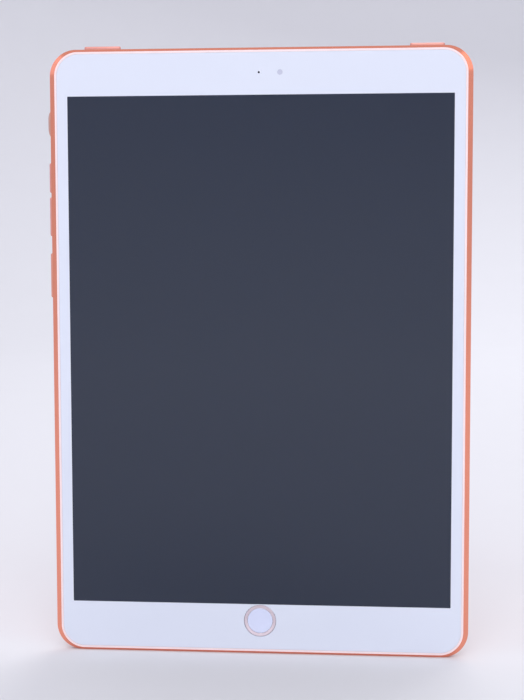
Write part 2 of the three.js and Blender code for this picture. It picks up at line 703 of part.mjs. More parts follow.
function addScreen() {
  add("lcd_panel", screenLayer(PANEL_BACK, UNDER_MASK), MATERIALS.panel);
  add("backlight_unit", screenLayer(BACKLIGHT_BACK, BACKLIGHT_FRONT), MATERIALS.film);
  add("screen_back_plate", screenLayer(PLATE_BACK, PLATE_FRONT, PLATE_SHRINK), MATERIALS.steel);
  const flexZ = SCREEN_TOP + FLEX_THICK + 3 * STACK_GAP;
  const flex = block(DISPLAY_FLEX_WIDTH, FLEX_THICK, BOARD_X, flexZ, ON_BOARD, UNDER_MASK - STACK_GAP);
  add("display_flex", flex, MATERIALS.flex);
}

// A small housing behind the glass with a round barrel that ends at the ink.
function frontPart(part, x) {
  const front = UNDER_MASK - part.front;
  return join(
    block(part.width, part.height, x, FRONT_PARTS_Z, UNDER_MASK - part.back, front),
    disc(part.barrel, x, FRONT_PARTS_Z, front - BARREL_OVERLAP, UNDER_MASK, COARSE),
  );
}

function addFrontParts() {
  add("front_camera_module", frontPart(FRONT_CAMERA, FRONT_CAMERA_X), MATERIALS.lens);
  add("ambient_light_sensor", frontPart(LIGHT_SENSOR, LIGHT_SENSOR_X), MATERIALS.plastic);
}

// ---------------------------------------------------------------------------------------------
// Home button
// ---------------------------------------------------------------------------------------------

function addHomeButton() {
  const carrierFront = MASK_BACK - 4 * STACK_GAP;
  const carrierBack = carrierFront - CARRIER_THICK;
  const buttonBack = carrierFront + STACK_GAP;
  const discRadius = HOME_RADIUS - HOME_RING_WIDTH;
  const ring = cut(
    solid(disc(HOME_RADIUS, 0, HOME_Z, buttonBack, BODY_DEPTH)),
    disc(discRadius, 0, HOME_Z, 0, BODY_DEPTH + OVERRUN),
  );
  add("home_button_ring", ring, MATERIALS.polished);
  const cap = disc(discRadius - STACK_GAP, 0, HOME_Z, buttonBack, BODY_DEPTH - HOME_DISH);
  add("home_button_cap", cap, MATERIALS.button);
  const carrier = block(CARRIER_WIDTH, CARRIER_HEIGHT, 0, HOME_Z, carrierBack, carrierFront);
  add("home_button_carrier", carrier, MATERIALS.gasket);

  const switchFront = carrierBack - HOME_TRAVEL - STACK_GAP;
  const switchBack = switchFront - HOME_SWITCH_THICK;
  const strapFront = switchBack - STACK_GAP;
  const span = CARRIER_WIDTH + 2 * OVERRUN + 2 * BRACKET_LEG;
  const legX = (span - BRACKET_LEG) / 2;
  const strapBack = strapFront - BRACKET_THICK;
  const bracket = join(
    block(span, CARRIER_HEIGHT, 0, HOME_Z, strapBack, strapFront),
    block(BRACKET_LEG, CARRIER_HEIGHT, -legX, HOME_Z, strapBack, UNDER_MASK),
    block(BRACKET_LEG, CARRIER_HEIGHT, legX, HOME_Z, strapBack, UNDER_MASK),
  );
  add("home_button_bracket", bracket, MATERIALS.steel);
  const button = disc(HOME_SWITCH_RADIUS, 0, HOME_Z, switchBack, switchFront, COARSE);
  add("home_button_switch", button, MATERIALS.plastic);
}

// ---------------------------------------------------------------------------------------------
// Bottom edge: charging port, headphone socket, speakers, microphone
// ---------------------------------------------------------------------------------------------

function addPort() {
  const mouth = -OVERRUN;
  const back = mouth - PORT_REACH;
  const shell = cut(
    solid(edgePiece("bottom", 0, PORT_DEPTH, portOutline(0), back, mouth)),
    edgePiece("bottom", 0, PORT_DEPTH, portOutline(-PORT_WALL), back + 2 * PORT_WALL, OVERRUN),
  );
  add("charge_port_shell", shell, MATERIALS.steel);
  const tongueOutline = roundedRect(TONGUE_WIDTH, TONGUE_THICK, TONGUE_CORNER);
  const root = back + 2 * PORT_WALL + STACK_GAP;
  const tongue = edgePiece("bottom", 0, PORT_DEPTH, tongueOutline, root, mouth - TONGUE_RECESS);
  add("charge_port_tongue", tongue, MATERIALS.plastic);
  const boardZ = BOTTOM - back + STACK_GAP + PORT_BOARD_HEIGHT / 2;
  const boardFront = PORT_DEPTH - PORT_THICK / 2;
  const board = block(PORT_BOARD_WIDTH, PORT_BOARD_HEIGHT, 0, boardZ, ON_FLOOR, boardFront);
  add("charge_port_board", board, MATERIALS.board);
}

function addJack() {
  const bottom = BOTTOM + LEDGE_REACH + STACK_GAP;
  const barrel = cut(
    solid(uprightBar(JACK_RADIUS, JACK_X, JACK_DEPTH, bottom, bottom + JACK_LENGTH, FINE)),
    uprightBar(JACK_BORE, JACK_X, JACK_DEPTH, bottom - OVERRUN, bottom + JACK_LENGTH - OVERRUN, FINE),
  );
  add("headphone_socket", barrel, MATERIALS.plastic);
}

function addSpeakers() {
  const meshBottom = BOTTOM + WALL + STACK_GAP;
  const boxBottom = BOTTOM + WALL + SPEAKER_GAP;
  const meshBack = KEY_DEPTH - SPEAKER_MESH_WIDTH / 2;
  const meshFront = KEY_DEPTH + SPEAKER_MESH_WIDTH / 2;
  for (const [name, side] of [["left", -1], ["right", 1]]) {
    const box = block(
      SPEAKER_WIDTH,
      SPEAKER_HEIGHT,
      side * SPEAKER_X,
      boxBottom + SPEAKER_HEIGHT / 2,
      SPEAKER_BACK,
      PLATE_BACK - STACK_GAP,
    );
    add("speaker_" + name, box, MATERIALS.plastic);
    const mesh = block(
      SPEAKER_MESH_LENGTH,
      SPEAKER_MESH_THICK,
      side * SPEAKER_X,
      meshBottom + SPEAKER_MESH_THICK / 2,
      meshBack,
      meshFront,
    );
    add("speaker_mesh_" + name, mesh, MATERIALS.mesh);
  }
  const microphone = block(
    MICROPHONE_LENGTH,
    MICROPHONE_HEIGHT,
    MICROPHONE_X,
    meshBottom + MICROPHONE_HEIGHT / 2,
    meshBack,
    meshFront,
  );
  add("bottom_microphone", microphone, MATERIALS.steel);
}

// ---------------------------------------------------------------------------------------------
// Back: camera and flash
// ---------------------------------------------------------------------------------------------

function addRearCamera() {
  const inner = CAMERA_RING_RADIUS - CAMERA_RING_WIDTH;
  const ring = cut(
    solid(disc(CAMERA_RING_RADIUS, CAMERA_X, CAMERA_Z, 0, FLOOR)),
    disc(inner, CAMERA_X, CAMERA_Z, -OVERRUN, BODY_DEPTH),
  );
  add("rear_camera_ring", ring, MATERIALS.polished);
  const window = disc(inner - STACK_GAP, CAMERA_X, CAMERA_Z, CAMERA_WINDOW_BACK, FLOOR);
  add("rear_camera_window", window, MATERIALS.lens);
  const module = block(CAMERA_MODULE, CAMERA_MODULE, CAMERA_X, CAMERA_Z, FLOOR + STACK_GAP, LEDGE_BACK);
  add("rear_camera_module", module, MATERIALS.chip);
  add("flash_window", disc(FLASH_RADIUS, FLASH_X, CAMERA_Z, 0, FLOOR, COARSE), MATERIALS.film);
}

// ---------------------------------------------------------------------------------------------
// Battery and main board
// ---------------------------------------------------------------------------------------------

function addBattery() {
  for (const [name, side] of [["left", -1], ["right", 1]]) {
    const x = CELL_X + (side * CELL_SPACING) / 2;
    const outline = roundedRect(CELL_WIDTH, CELL_HEIGHT, CELL_CORNER, x, CELL_Z);
    add("battery_cell_" + name, sheet(outline, CELL_BACK, CELL_FRONT, KEY_STEPS), MATERIALS.cell);
    const padWidth = CELL_WIDTH - 2 * PAD_SIDE_MARGIN;
    const padHeight = CELL_HEIGHT - 2 * PAD_END_MARGIN;
    const pad = block(padWidth, padHeight, x, CELL_Z, ON_FLOOR, ON_FLOOR + PAD_THICK);
    add("battery_pad_" + name, pad, MATERIALS.pad);
  }
  const boardZ = CELL_Z + CELL_HEIGHT / 2 + STACK_GAP + BATTERY_BOARD_HEIGHT / 2;
  const back = BATTERY_BOARD_BACK;
  const board = block(CELL_SPACING, BATTERY_BOARD_HEIGHT, CELL_X, boardZ, back, BATTERY_BOARD_FRONT);
  add("battery_board", board, MATERIALS.board);
}

const chip = (width, height, z) => block(width, height, BOARD_X, z, ON_BOARD, ON_BOARD + CHIP_THICK);

// A thin metal can over chips, open towards the board.
function shieldCan({ width, height }, z) {
  const front = BOARD_FRONT + SHIELD_HEIGHT;
  const skin = 2 * SHIELD_SKIN;
  return cut(
    solid(block(width, height, BOARD_X, z, ON_BOARD, front)),
    block(width - skin, height - skin, BOARD_X, z, 0, front - SHIELD_SKIN),
  );
}

function addMainBoard() {
  const blank = block(BOARD_WIDTH, BOARD_HEIGHT, BOARD_X, BOARD_Z, BOARD_BACK, BOARD_FRONT);
  const board = cut(solid(blank), ...screwHoles(0, BODY_DEPTH));
  add("main_board", board, MATERIALS.board);

  const processorZ = TRAY_Z - PROCESSOR_BELOW_TRAY;
  add("processor", chip(PROCESSOR_SIZE, PROCESSOR_SIZE, processorZ), MATERIALS.chip);
  add("processor_shield", shieldCan(PROCESSOR_SHIELD, processorZ), MATERIALS.steel);
  add("radio_shield", shieldCan(RADIO_SHIELD, TRAY_Z + RADIO_ABOVE_TRAY), MATERIALS.steel);
  const storage = chip(STORAGE_WIDTH, STORAGE_HEIGHT, TRAY_Z - STORAGE_BELOW_TRAY);
  add("storage_chip", storage, MATERIALS.chip);

  const headBack = ON_BOARD - FLOOR;
  const profile = [
    [0, 0],
    [SCREW_SHANK, 0],
    [SCREW_SHANK, headBack],
    [SCREW_HEAD, headBack],
    [SCREW_HEAD, headBack + SCREW_HEAD_THICK / 2],
    [SCREW_HEAD - SCREW_HEAD_THICK / 2, headBack + SCREW_HEAD_THICK],
    [0, headBack + SCREW_HEAD_THICK],
  ].map(([radius, height]) => new THREE.Vector2(radius, height));
  screwPlaces.forEach(([x, z], i) => {
    const screw = new THREE.LatheGeometry(profile, COARSE).rotateX(Math.PI).translate(x, -FLOOR, z);
    add("board_screw_" + (i + 1), screw, MATERIALS.steel);
  });
}

function addAntennas() {
  const z = BAND_Z + ANTENNA_ABOVE_BAND;
  const places = { wifi_antenna: WIFI_ANTENNA_X, cellular_antenna: CELLULAR_ANTENNA_X };
  for (const [name, x] of Object.entries(places)) {
    const antenna = block(ANTENNA_LENGTH, ANTENNA_HEIGHT, x, z, ON_FLOOR, ON_FLOOR + ANTENNA_THICK);
    add(name, antenna, MATERIALS.gold);
  }
}

addHousing();
addGlass();
addScreen();
addFrontParts();
addHomeButton();
addKeys();
addCardTray();
addPort();
addJack();
addSpeakers();
addRearCamera();
addBattery();
addMainBoard();
addAntennas();

export default tablet;
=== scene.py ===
"""Tablet computer: the finished pieces, their materials and a small studio round them.

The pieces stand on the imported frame, in metres: +X is to the right of someone who faces the screen, +Z is up
and the screen faces -Y. A depth is a distance in front of the flat back face, so y = -depth.
"""

import math

import bmesh
import bpy
import numpy as np
from bpy.props import FloatProperty, FloatVectorProperty, PointerProperty
from mathutils import Matrix, Vector


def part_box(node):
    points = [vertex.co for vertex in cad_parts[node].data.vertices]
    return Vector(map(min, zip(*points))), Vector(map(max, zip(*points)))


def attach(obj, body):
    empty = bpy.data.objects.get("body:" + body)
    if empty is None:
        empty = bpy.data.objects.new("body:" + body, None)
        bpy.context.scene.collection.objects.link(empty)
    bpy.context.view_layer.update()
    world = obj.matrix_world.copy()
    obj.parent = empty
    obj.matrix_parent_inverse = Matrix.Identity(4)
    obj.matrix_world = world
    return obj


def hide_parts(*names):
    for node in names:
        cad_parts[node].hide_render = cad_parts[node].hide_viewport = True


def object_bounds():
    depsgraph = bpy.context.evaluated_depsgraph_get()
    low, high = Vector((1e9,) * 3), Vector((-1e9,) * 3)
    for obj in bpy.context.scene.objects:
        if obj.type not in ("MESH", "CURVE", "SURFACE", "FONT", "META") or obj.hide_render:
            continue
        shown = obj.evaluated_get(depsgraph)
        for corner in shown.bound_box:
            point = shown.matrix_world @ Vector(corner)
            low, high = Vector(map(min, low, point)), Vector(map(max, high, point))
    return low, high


bl_info = {
    "name": "Tablet computer",
    "version": (1, 0, 0),
    "blender": (4, 5, 0),
    "location": "View3D > Sidebar > Tablet",
    "description": "Builds the visible pieces of a tablet computer on its frame",
    "category": "Add Mesh",
}

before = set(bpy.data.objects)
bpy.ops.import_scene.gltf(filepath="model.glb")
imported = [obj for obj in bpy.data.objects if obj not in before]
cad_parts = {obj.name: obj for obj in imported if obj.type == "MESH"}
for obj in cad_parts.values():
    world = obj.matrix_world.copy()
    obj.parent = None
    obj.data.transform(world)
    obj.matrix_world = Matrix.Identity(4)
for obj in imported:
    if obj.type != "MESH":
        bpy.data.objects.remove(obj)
CAD_BOX = [list(corner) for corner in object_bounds()]
MM = 0.001
SHARP_ANGLE = 20  # edges with a greater turn, in degrees, stay crisp
MERGE = 1e-7  # points nearer to each other than this are one
MIX_COLOUR_A, MIX_COLOUR_B, MIX_COLOUR_RESULT = 6, 7, 2  # a Mix node's sockets when it mixes colours


def box_size(part):
    """A CAD part's size along x, y and z."""
    low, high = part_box(part)
    return np.array(high) - np.array(low)


def box_middle(part):
    """The middle of a CAD part's box."""
    low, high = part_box(part)
    return (np.array(high) + np.array(low)) / 2


def linear(hex_colour):
    """An sRGB hex colour as the linear values that shaders take."""
    channels = [int(hex_colour[i : i + 2], 16) / 255 for i in (1, 3, 5)]
    return tuple(c / 12.92 if c <= 0.04045 else ((c + 0.055) / 1.055) ** 2.4 for c in channels)


HOUSING = box_size("rear_housing")
GLASS = box_size("cover_glass")


# ---- Sizes and colours that a user may change ----


def length(name, description, default):
    """A size that a user may change, in metres."""
    return FloatProperty(name=name, description=description, default=default, unit="LENGTH", precision=5)


def colour(name, description, hex_colour):
    """A colour that a user may change."""
    return FloatVectorProperty(
        name=name, description=description, default=linear(hex_colour), subtype="COLOR", size=3, min=0, max=1
    )


class TabletSizes(bpy.types.PropertyGroup):
    corner: length("Corner radius", "Radius of the body's four corners", 11 * MM)
    wall: length("Wall", "Thickness of the side walls", 2 * MM)
    floor: length("Floor", "Thickness of the back wall", 0.9 * MM)
    back_round: length("Back edge width", "How far the rounded back edge reaches across the back", 6.5 * MM)
    back_round_depth: length("Back edge depth", "How far it reaches towards the front", 4.2 * MM)
    slope_depth: length("Slope depth", "How far the front rim slopes back towards the side", 1.0 * MM)
    # the lip's pale pink finish is a painted highlight along the glass's edge
    lip: length("Lip", "Width of the pale trim beside the glass", 0.85 * MM)
    rim: length("Rim", "Front rim at top and bottom, from the body's edge to the glass", 1.93 * MM)
    side_extra: length("Side extra", "The rim is this much wider at left and right", 1 * MM)
    ledge: length("Ledge reach", "How far the ledge under the glass comes in from the body's edge", 3.6 * MM)
    ledge_front: length("Ledge depth", "Depth of the face that the glass rests on", 5.7 * MM)
    ledge_thick: length("Ledge thickness", "Thickness of the ledge under the glass", 0.8 * MM)
    glass_edge: length("Glass edge", "Radius of the rounded edge of the glass", 0.12 * MM)
    screen_width: length("Screen width", "Width of the lit area", 160.1 * MM)
    screen_height: length("Screen height", "Height of the lit area", 213.4 * MM)
    screen_z: length("Screen place", "Centre of the lit area above the body's centre", 1 * MM)
    key_edge: length("Key edge", "Radius of the rounded edge of a key", 0.4 * MM)
    key_corner: length("Key corner", "Corner radius of a key's outline", 0.9 * MM)
    key_gap: length("Key gap", "Gap round a key in its slot", 0.14 * MM)
    dish: length("Button dish", "How far the middle of the home button is hollowed", 0.22 * MM)


class TabletColours(bpy.types.PropertyGroup):
    metal: colour("Metal", "Rose-gold dye of the body", "#E9A391")
    metal_cut: colour("Cut edge", "The same metal where it is cut bright", "#F0967B")
    ring: colour("Button ring", "The pale polished ring of the home button", "#FBEAF0")
    ink: colour("White ink", "The printed border behind the glass", "#DEE4F1")
    screen: colour("Screen", "The switched-off screen seen through the glass", "#20293B")
    button: colour("Button", "The disc of the home button", "#DAE1FA")
    floor: colour("Studio floor", "The paper that the tablet stands on", "#E4E5E9")


# ---- Surfaces ----


class Place:
    """A flat drawing's place: its origin, its two axes, and the direction in which levels rise."""

    def __init__(self, origin, across, up, out):
        self.origin, self.across, self.up, self.out = (np.array(v, float) for v in (origin, across, up, out))

    def put(self, x, y, level):
        """The points that stand at x and y of the drawing, at their level."""
        return (
            self.origin
            + x[..., None] * self.across
            + y[..., None] * self.up
            + np.broadcast_to(level, x.shape)[..., None] * self.out
        )


def facing_front(x=0.0, z=0.0):
    """Drawings seen from the front; a level is a depth."""
    return Place((x, 0, z), (1, 0, 0), (0, 0, 1), (0, -1, 0))


def edge_place(edge, along, depth):
    """Drawings on an edge of the body, length first, depth second; a level is a height over the edge's face."""
    half_width, _, half_height = HOUSING / 2
    return {
        "left": Place((-half_width, -depth, along), (0, 0, 1), (0, -1, 0), (-1, 0, 0)),
        "top": Place((along, -depth, half_height), (1, 0, 0), (0, -1, 0), (0, 0, 1)),
        "bottom": Place((along, -depth, -half_height), (1, 0, 0), (0, -1, 0), (0, 0, -1)),
    }[edge]


def outline_rows(place, width, height, radius, profile, steps=10, ease=0.0):
    """Rows of points, one for each profile point (inset, level), or (inset, level, side).

    A row is a rounded rectangle: each corner's centre plus the unit direction of its quarter turn times the
    radius less the inset; side moves the centres inwards at both sides. With width and height of twice the
    radius it is a circle. Each corner is made of that many steps. With ease, one more point stands that far
    beyond each end of every corner, on the straight, to keep the straight's shading even.
    """
    turn = np.linspace(0, math.pi / 2, steps + 1)
    slide = np.zeros(steps + 1)
    if ease:
        turn = np.concatenate([[0], turn, [math.pi / 2]])
        slide = np.concatenate([[-ease], slide, [ease]])
    angle = (turn[None, :] + np.arange(4)[:, None] * math.pi / 2).ravel()
    slide = np.tile(slide, 4)
    sign_x = np.repeat([1, -1, -1, 1], len(turn))
    sign_y = np.repeat([1, 1, -1, -1], len(turn))
    inset, level, side = np.array([(*point, 0)[:3] for point in profile], float).T
    reach = (radius - inset)[:, None]
    x = sign_x * (width / 2 - radius - side[:, None]) + reach * np.cos(angle) - slide * np.sin(angle)
    y = sign_y * (height / 2 - radius) + reach * np.sin(angle) + slide * np.cos(angle)
    return place.put(x, y, level[:, None])


def disc_rows(place, radius, profile, steps):
    """Rows of circles: a disc, a ring or a dish turned about its axis."""
    return outline_rows(place, 2 * radius, 2 * radius, radius, profile, steps)


def quarter(start, end, steps=6, hollow=False):
    """Points of a quarter ellipse between two profile points.

    The first point plus shares of the way to the second: the sine of the turn for the inset and one less its
    cosine for the level, and with hollow the other way round.
    """
    t = np.linspace(0, math.pi / 2, steps + 1)
    start, end = np.array(start, float), np.array(end, float)
    first, second = (np.sin(t), 1 - np.cos(t)) if not hollow else (1 - np.cos(t), np.sin(t))
    share = np.stack([first, second], axis=1)
    return [tuple(p) for p in start + share * (end - start)]


def solid_profile(back, front, back_edge, front_edge, support=0.0):
    """A solid's side from its back face to its front face, with both edges rounded.

    A support row just inside each face keeps the shading of the large flat faces even.
    """
    inside = max(back_edge, front_edge) + support
    rows = [(inside, back)] if support else []
    rows += quarter((back_edge, back), (0, back + back_edge))
    rows += quarter((0, front - front_edge), (front_edge, front), hollow=True)
    return rows + ([(inside, front)] if support else [])


def grid_faces(rows, columns, start, wrap):
    """Quads between neighbouring rows; the last column joins the first, and with wrap the last row the first."""
    i = np.arange(rows if wrap else rows - 1)[:, None]
    j = np.arange(columns)[None, :]
    after, beside = (i + 1) % rows, (j + 1) % columns
    corners = [i * columns + j, i * columns + beside, after * columns + beside, after * columns + j]
    return (np.stack(corners, axis=-1) + start).reshape(-1, 4)


def add_object(name, data):
    """Adds an object at the origin with its mesh, lamp or camera."""
    made = bpy.data.objects.new(name, data)
    bpy.context.scene.collection.objects.link(made)
    return made


def skin(name, sheets, finishes=(), bands=(), wrap=False):
    """Makes one closed piece from sheets of rows, with each sheet's first and last row filled unless it wraps.

    bands gives (first row, last row, number of the finish) for the faces between those rows of the first
    sheet; a last row past the end includes the front fill.
    """
    points, faces, numbers, start = [], [], [], 0
    for k, rows in enumerate(sheets):
        count, columns = rows.shape[:2]
        quads = grid_faces(count, columns, start, wrap)
        row_of = np.repeat(np.arange(len(quads) // columns), columns)
        number = np.zeros(len(quads) + (0 if wrap else 2), int)
        for first, last, index in bands if k == 0 else ():
            number[: len(quads)][(row_of >= first) & (row_of < last)] = index
            if last > count and not wrap:
                number[-1] = index
        faces += quads.tolist()
        if not wrap:
            faces += [list(range(end, end + columns)) for end in (start, start + (count - 1) * columns)]
        numbers.append(number)
        points.append(rows.reshape(-1, 3))
        start += count * columns
    mesh = bpy.data.meshes.new(name)
    mesh.from_pydata(np.concatenate(points).tolist(), [], faces)
    mesh.polygons.foreach_set("material_index", np.concatenate(numbers).astype(np.int32))
    for key in finishes:
        mesh.materials.append(finish(key))
    piece = add_object(name, mesh)
    close_up(mesh)
    return piece


def close_up(mesh):
    """Merges doubled points, turns the faces outwards and smooths all but the sharp edges."""
    work = bmesh.new()
    work.from_mesh(mesh)
    bmesh.ops.remove_doubles(work, verts=work.verts, dist=MERGE)
    bmesh.ops.dissolve_degenerate(work, edges=work.edges, dist=MERGE)
    bmesh.ops.recalc_face_normals(work, faces=work.faces)
    work.to_mesh(mesh)
    work.free()
    smooth(mesh)


def smooth(mesh):
    """Shades the faces smooth, with a crisp line along each sharp edge."""
    mesh.polygons.foreach_set("use_smooth", np.ones(len(mesh.polygons), bool))
    mesh.set_sharp_from_angle(angle=math.radians(SHARP_ANGLE))


def carve(piece, *tools):
    """Cuts each tool's shape out of the piece and removes the tool."""
    combine(piece, "DIFFERENCE", *tools)


def combine(piece, operation, *tools):
    """Joins each tool's shape to the piece or cuts it out, and removes the tool."""
    for tool in tools:
        cut = piece.modifiers.new("cut", "BOOLEAN")
        cut.operation = operation
        cut.solver = "EXACT"
        cut.object = tool
    graph = bpy.context.evaluated_depsgraph_get()
    carved = bpy.data.meshes.new_from_object(piece.evaluated_get(graph))
    piece.modifiers.clear()
    old, piece.data = piece.data, carved
    carved.name = piece.name
    bpy.data.meshes.remove(old)
    for tool in tools:
        data = tool.data
        bpy.data.objects.remove(tool)
        bpy.data.meshes.remove(data)
    smooth(carved)
    if not carved.polygons:
        raise RuntimeError(f"nothing is left of {piece.name}")


def stand_for(piece, body, slot, *nodes):
    """The piece moves with a body and stands for the CAD nodes, which it hides. The slot is not used."""
    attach(piece, body)
    if nodes:
        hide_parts(*nodes)


# ---- Materials ----


def node(tree, kind, links=None, **settings):
    """Adds a node; settings are its own, and links gives values or other nodes' sockets for its inputs."""
    made = tree.nodes.new(kind)
    for key, value in settings.items():
        setattr(made, key, value)
    for key, value in (links or {}).items():
        if isinstance(value, bpy.types.NodeSocket):
            tree.links.new(value, made.inputs[key])
        else:
            made.inputs[key].default_value = value
    return made


def new_material(name, colour_value, roughness, **settings):
    """A material with one Principled shader, and the object's own coordinates in metres."""
    material = bpy.data.materials.new(name)
    material.use_nodes = True
    tree = material.node_tree
    shader = tree.nodes["Principled BSDF"]
    shader.inputs["Base Color"].default_value = (*colour_value, 1)
    shader.inputs["Roughness"].default_value = roughness
    for key, value in settings.items():
        shader.inputs[key.replace("_", " ")].default_value = value
    where = node(tree, "ShaderNodeTexCoord").outputs["Object"]
    return material, tree, shader, where


def noise(tree, where, size, detail=2.0):
    """Noise whose lumps are about size across, in metres."""
    return node(tree, "ShaderNodeTexNoise", {"Vector": where, "Scale": 1 / size, "Detail": detail})


def spread(tree, value, low, high, start=0.3, end=0.7):
    """Maps a value from start..end to low..high; most of a noise lies from 0.3 to 0.7."""
    links = {"Value": value, "From Min": start, "From Max": end, "To Min": low, "To Max": high}
    return node(tree, "ShaderNodeMapRange", links).outputs["Result"]


def tint(tree, share, first, second):
    """A colour between two, by share."""
    links = {0: share, MIX_COLOUR_A: (*first, 1), MIX_COLOUR_B: (*second, 1)}
    return node(tree, "ShaderNodeMix", links, data_type="RGBA").outputs[MIX_COLOUR_RESULT]


def shade(value, factor):
    """The colour times a factor, kept at 1 at most."""
    return tuple(min(1.0, c * factor) for c in value)


def bump(tree, shader, height, distance, strength):
    """Relief in the shading alone, as deep as distance, in metres, where height is 1."""
    links = {"Height": height, "Distance": distance, "Strength": strength}
    tree.links.new(node(tree, "ShaderNodeBump", links).outputs["Normal"], shader.inputs["Normal"])


def blasted_aluminium(name, value):
    """Aluminium, bead-blasted and dyed by anodising: an even satin that glints faintly at close range.

    The beads leave pits of about 0.05 mm, drawn 0.4 mm wide so that they show.
    """
    material, tree, shader, where = new_material(name, value, 0.38, Metallic=1.0)
    pits = noise(tree, where, 0.4 * MM).outputs["Fac"]
    cloud = noise(tree, where, 22 * MM, 3).outputs["Fac"]
    tree.links.new(tint(tree, cloud, shade(value, 0.97), shade(value, 1.03)), shader.inputs["Base Color"])
    tree.links.new(spread(tree, pits, 0.33, 0.43), shader.inputs["Roughness"])
    bump(tree, shader, pits, 0.004 * MM, 0.5)
    return material


def cut_aluminium(name, value, coat):
    """Aluminium cut with a diamond tool, then anodised: a bright narrow face with fine tool lines.

    The oxide over it adds a soft whitish gloss where a lamp stands in it.
    """
    settings = {"Metallic": 1.0, "Coat_Weight": coat, "Coat_Roughness": 0.2}
    material, tree, shader, where = new_material(name, value, 0.2, **settings)
    lines = noise(tree, where, 0.6 * MM, 1).outputs["Fac"]
    tree.links.new(spread(tree, lines, 0.15, 0.26), shader.inputs["Roughness"])
    bump(tree, shader, lines, 0.002 * MM, 0.4)
    return material


def finger_film(tree, where, shader, clean, touched):
    """A thin uneven film from fingers, 30 to 50 mm wide, that dulls the gloss a little."""
    film = noise(tree, where, 40 * MM, 4).outputs["Fac"]
    tree.links.new(spread(tree, film, clean, touched, 0.45, 0.75), shader.inputs["Roughness"])
    return film


def white_border_glass(value):
    """Clear glass over a printed white ink: a cool glossy white that is slightly uneven under finger film."""
    material, tree, shader, where = new_material("toughened_glass_white_ink", value, 0.06, IOR=1.5)
    film = finger_film(tree, where, shader, 0.05, 0.14)
    tree.links.new(tint(tree, film, shade(value, 1.01), shade(value, 0.985)), shader.inputs["Base Color"])
    return material


def screen_glass(value):
    """Glass laminated to a switched-off liquid-crystal panel: a slate tone with a sharp gloss.

    Dust lies on it as pale specks about 0.4 mm across, one in each 30 mm or so.
    """
    material, tree, shader, where = new_material("toughened_glass_over_panel", value, 0.06, IOR=1.5)
    finger_film(tree, where, shader, 0.05, 0.12)
    speck, empty, strength = 0.009, 0.45, 0.12  # radius over a cell's width, share of cells without one, opacity
    cells = node(tree, "ShaderNodeTexVoronoi", {"Vector": where, "Scale": 1 / (24 * MM)}, feature="F1")
    close = node(tree, "ShaderNodeMath", {0: cells.outputs["Distance"], 1: speck}, operation="LESS_THAN")
    chosen = node(tree, "ShaderNodeSeparateColor", {"Color": cells.outputs["Color"]}).outputs["Red"]
    some = node(tree, "ShaderNodeMath", {0: chosen, 1: empty}, operation="GREATER_THAN")
    dust = node(tree, "ShaderNodeMath", {0: close.outputs[0], 1: some.outputs[0]}, operation="MULTIPLY")
    faint = node(tree, "ShaderNodeMath", {0: dust.outputs[0], 1: strength}, operation="MULTIPLY").outputs[0]
    tree.links.new(tint(tree, faint, value, (0.7, 0.7, 0.7)), shader.inputs["Base Color"])
    return material


def sapphire_disc(value):
    """Sapphire over a pale ink: glossier and cooler than the glass round it."""
    material, tree, shader, where = new_material("sapphire_over_ink", value, 0.05, IOR=1.76)
    finger_film(tree, where, shader, 0.04, 0.12)
    return material


def dark_glass(name, hex_colour, roughness=0.04):
    """Glass over ink, or a coated lens: the tone of what lies under it, with a clear highlight."""
    material, tree, shader, where = new_material(name, linear(hex_colour), roughness, IOR=1.55)
    cloud = noise(tree, where, 3 * MM).outputs["Fac"]
    tree.links.new(spread(tree, cloud, roughness, roughness + 0.04, 0, 1), shader.inputs["Roughness"])
    return material


def moulded_plastic(name, hex_colour, roughness=0.45, grain=0.5 * MM):
    """Plastic moulded in a spark-eroded tool: fine grain, slightly uneven gloss."""
    value = linear(hex_colour)
    material, tree, shader, where = new_material(name, value, roughness, IOR=1.5)
    lumps = noise(tree, where, grain).outputs["Fac"]
    tree.links.new(spread(tree, lumps, roughness - 0.06, roughness + 0.06), shader.inputs["Roughness"])
    tree.links.new(tint(tree, lumps, shade(value, 0.95), shade(value, 1.05)), shader.inputs["Base Color"])
    bump(tree, shader, lumps, 0.004 * MM, 0.6)
    return material


def bare_metal(name, hex_colour, roughness=0.3):
    """Pressed or plated sheet metal, with the faint lengthwise grain of rolling."""
    value = linear(hex_colour)
    material, tree, shader, where = new_material(name, value, roughness, Metallic=1.0)
    drawn = node(tree, "ShaderNodeMapping", {"Vector": where, "Scale": (1, 1, 0.06)}).outputs["Vector"]
    grain = noise(tree, drawn, 0.3 * MM, 3).outputs["Fac"]
    tree.links.new(spread(tree, grain, roughness - 0.08, roughness + 0.1), shader.inputs["Roughness"])
    bump(tree, shader, grain, 0.002 * MM, 0.5)
    return material


def circuit_board():
    """Glass-fibre board under green solder mask, with copper tracks 0.5 mm wide showing as paler lines."""
    value = linear("#1D4A33")
    material, tree, shader, where = new_material("solder_mask_on_laminate", value, 0.35, IOR=1.55)
    settings = {"Vector": where, "Scale": 1 / (3 * MM), "Distortion": 6.0, "Detail": 1.0}
    tracks = node(tree, "ShaderNodeTexWave", settings).outputs["Fac"]
    line = spread(tree, tracks, 0, 1, 0.75, 0.85)
    tree.links.new(tint(tree, line, value, linear("#3E7A4F")), shader.inputs["Base Color"])
    bump(tree, shader, line, 0.02 * MM, 0.5)
    return material


def woven_mesh():
    """Stainless wire woven at 0.4 mm and blackened, behind the speaker holes."""
    value = linear("#2C2D30")
    material, tree, shader, where = new_material("blackened_wire_mesh", value, 0.45, Metallic=0.8)
    settings = {"Vector": where, "Scale": 1 / (0.4 * MM)}
    weave = node(tree, "ShaderNodeTexChecker", settings).outputs["Fac"]
    tree.links.new(tint(tree, weave, shade(value, 0.4), shade(value, 1.4)), shader.inputs["Base Color"])
    return material


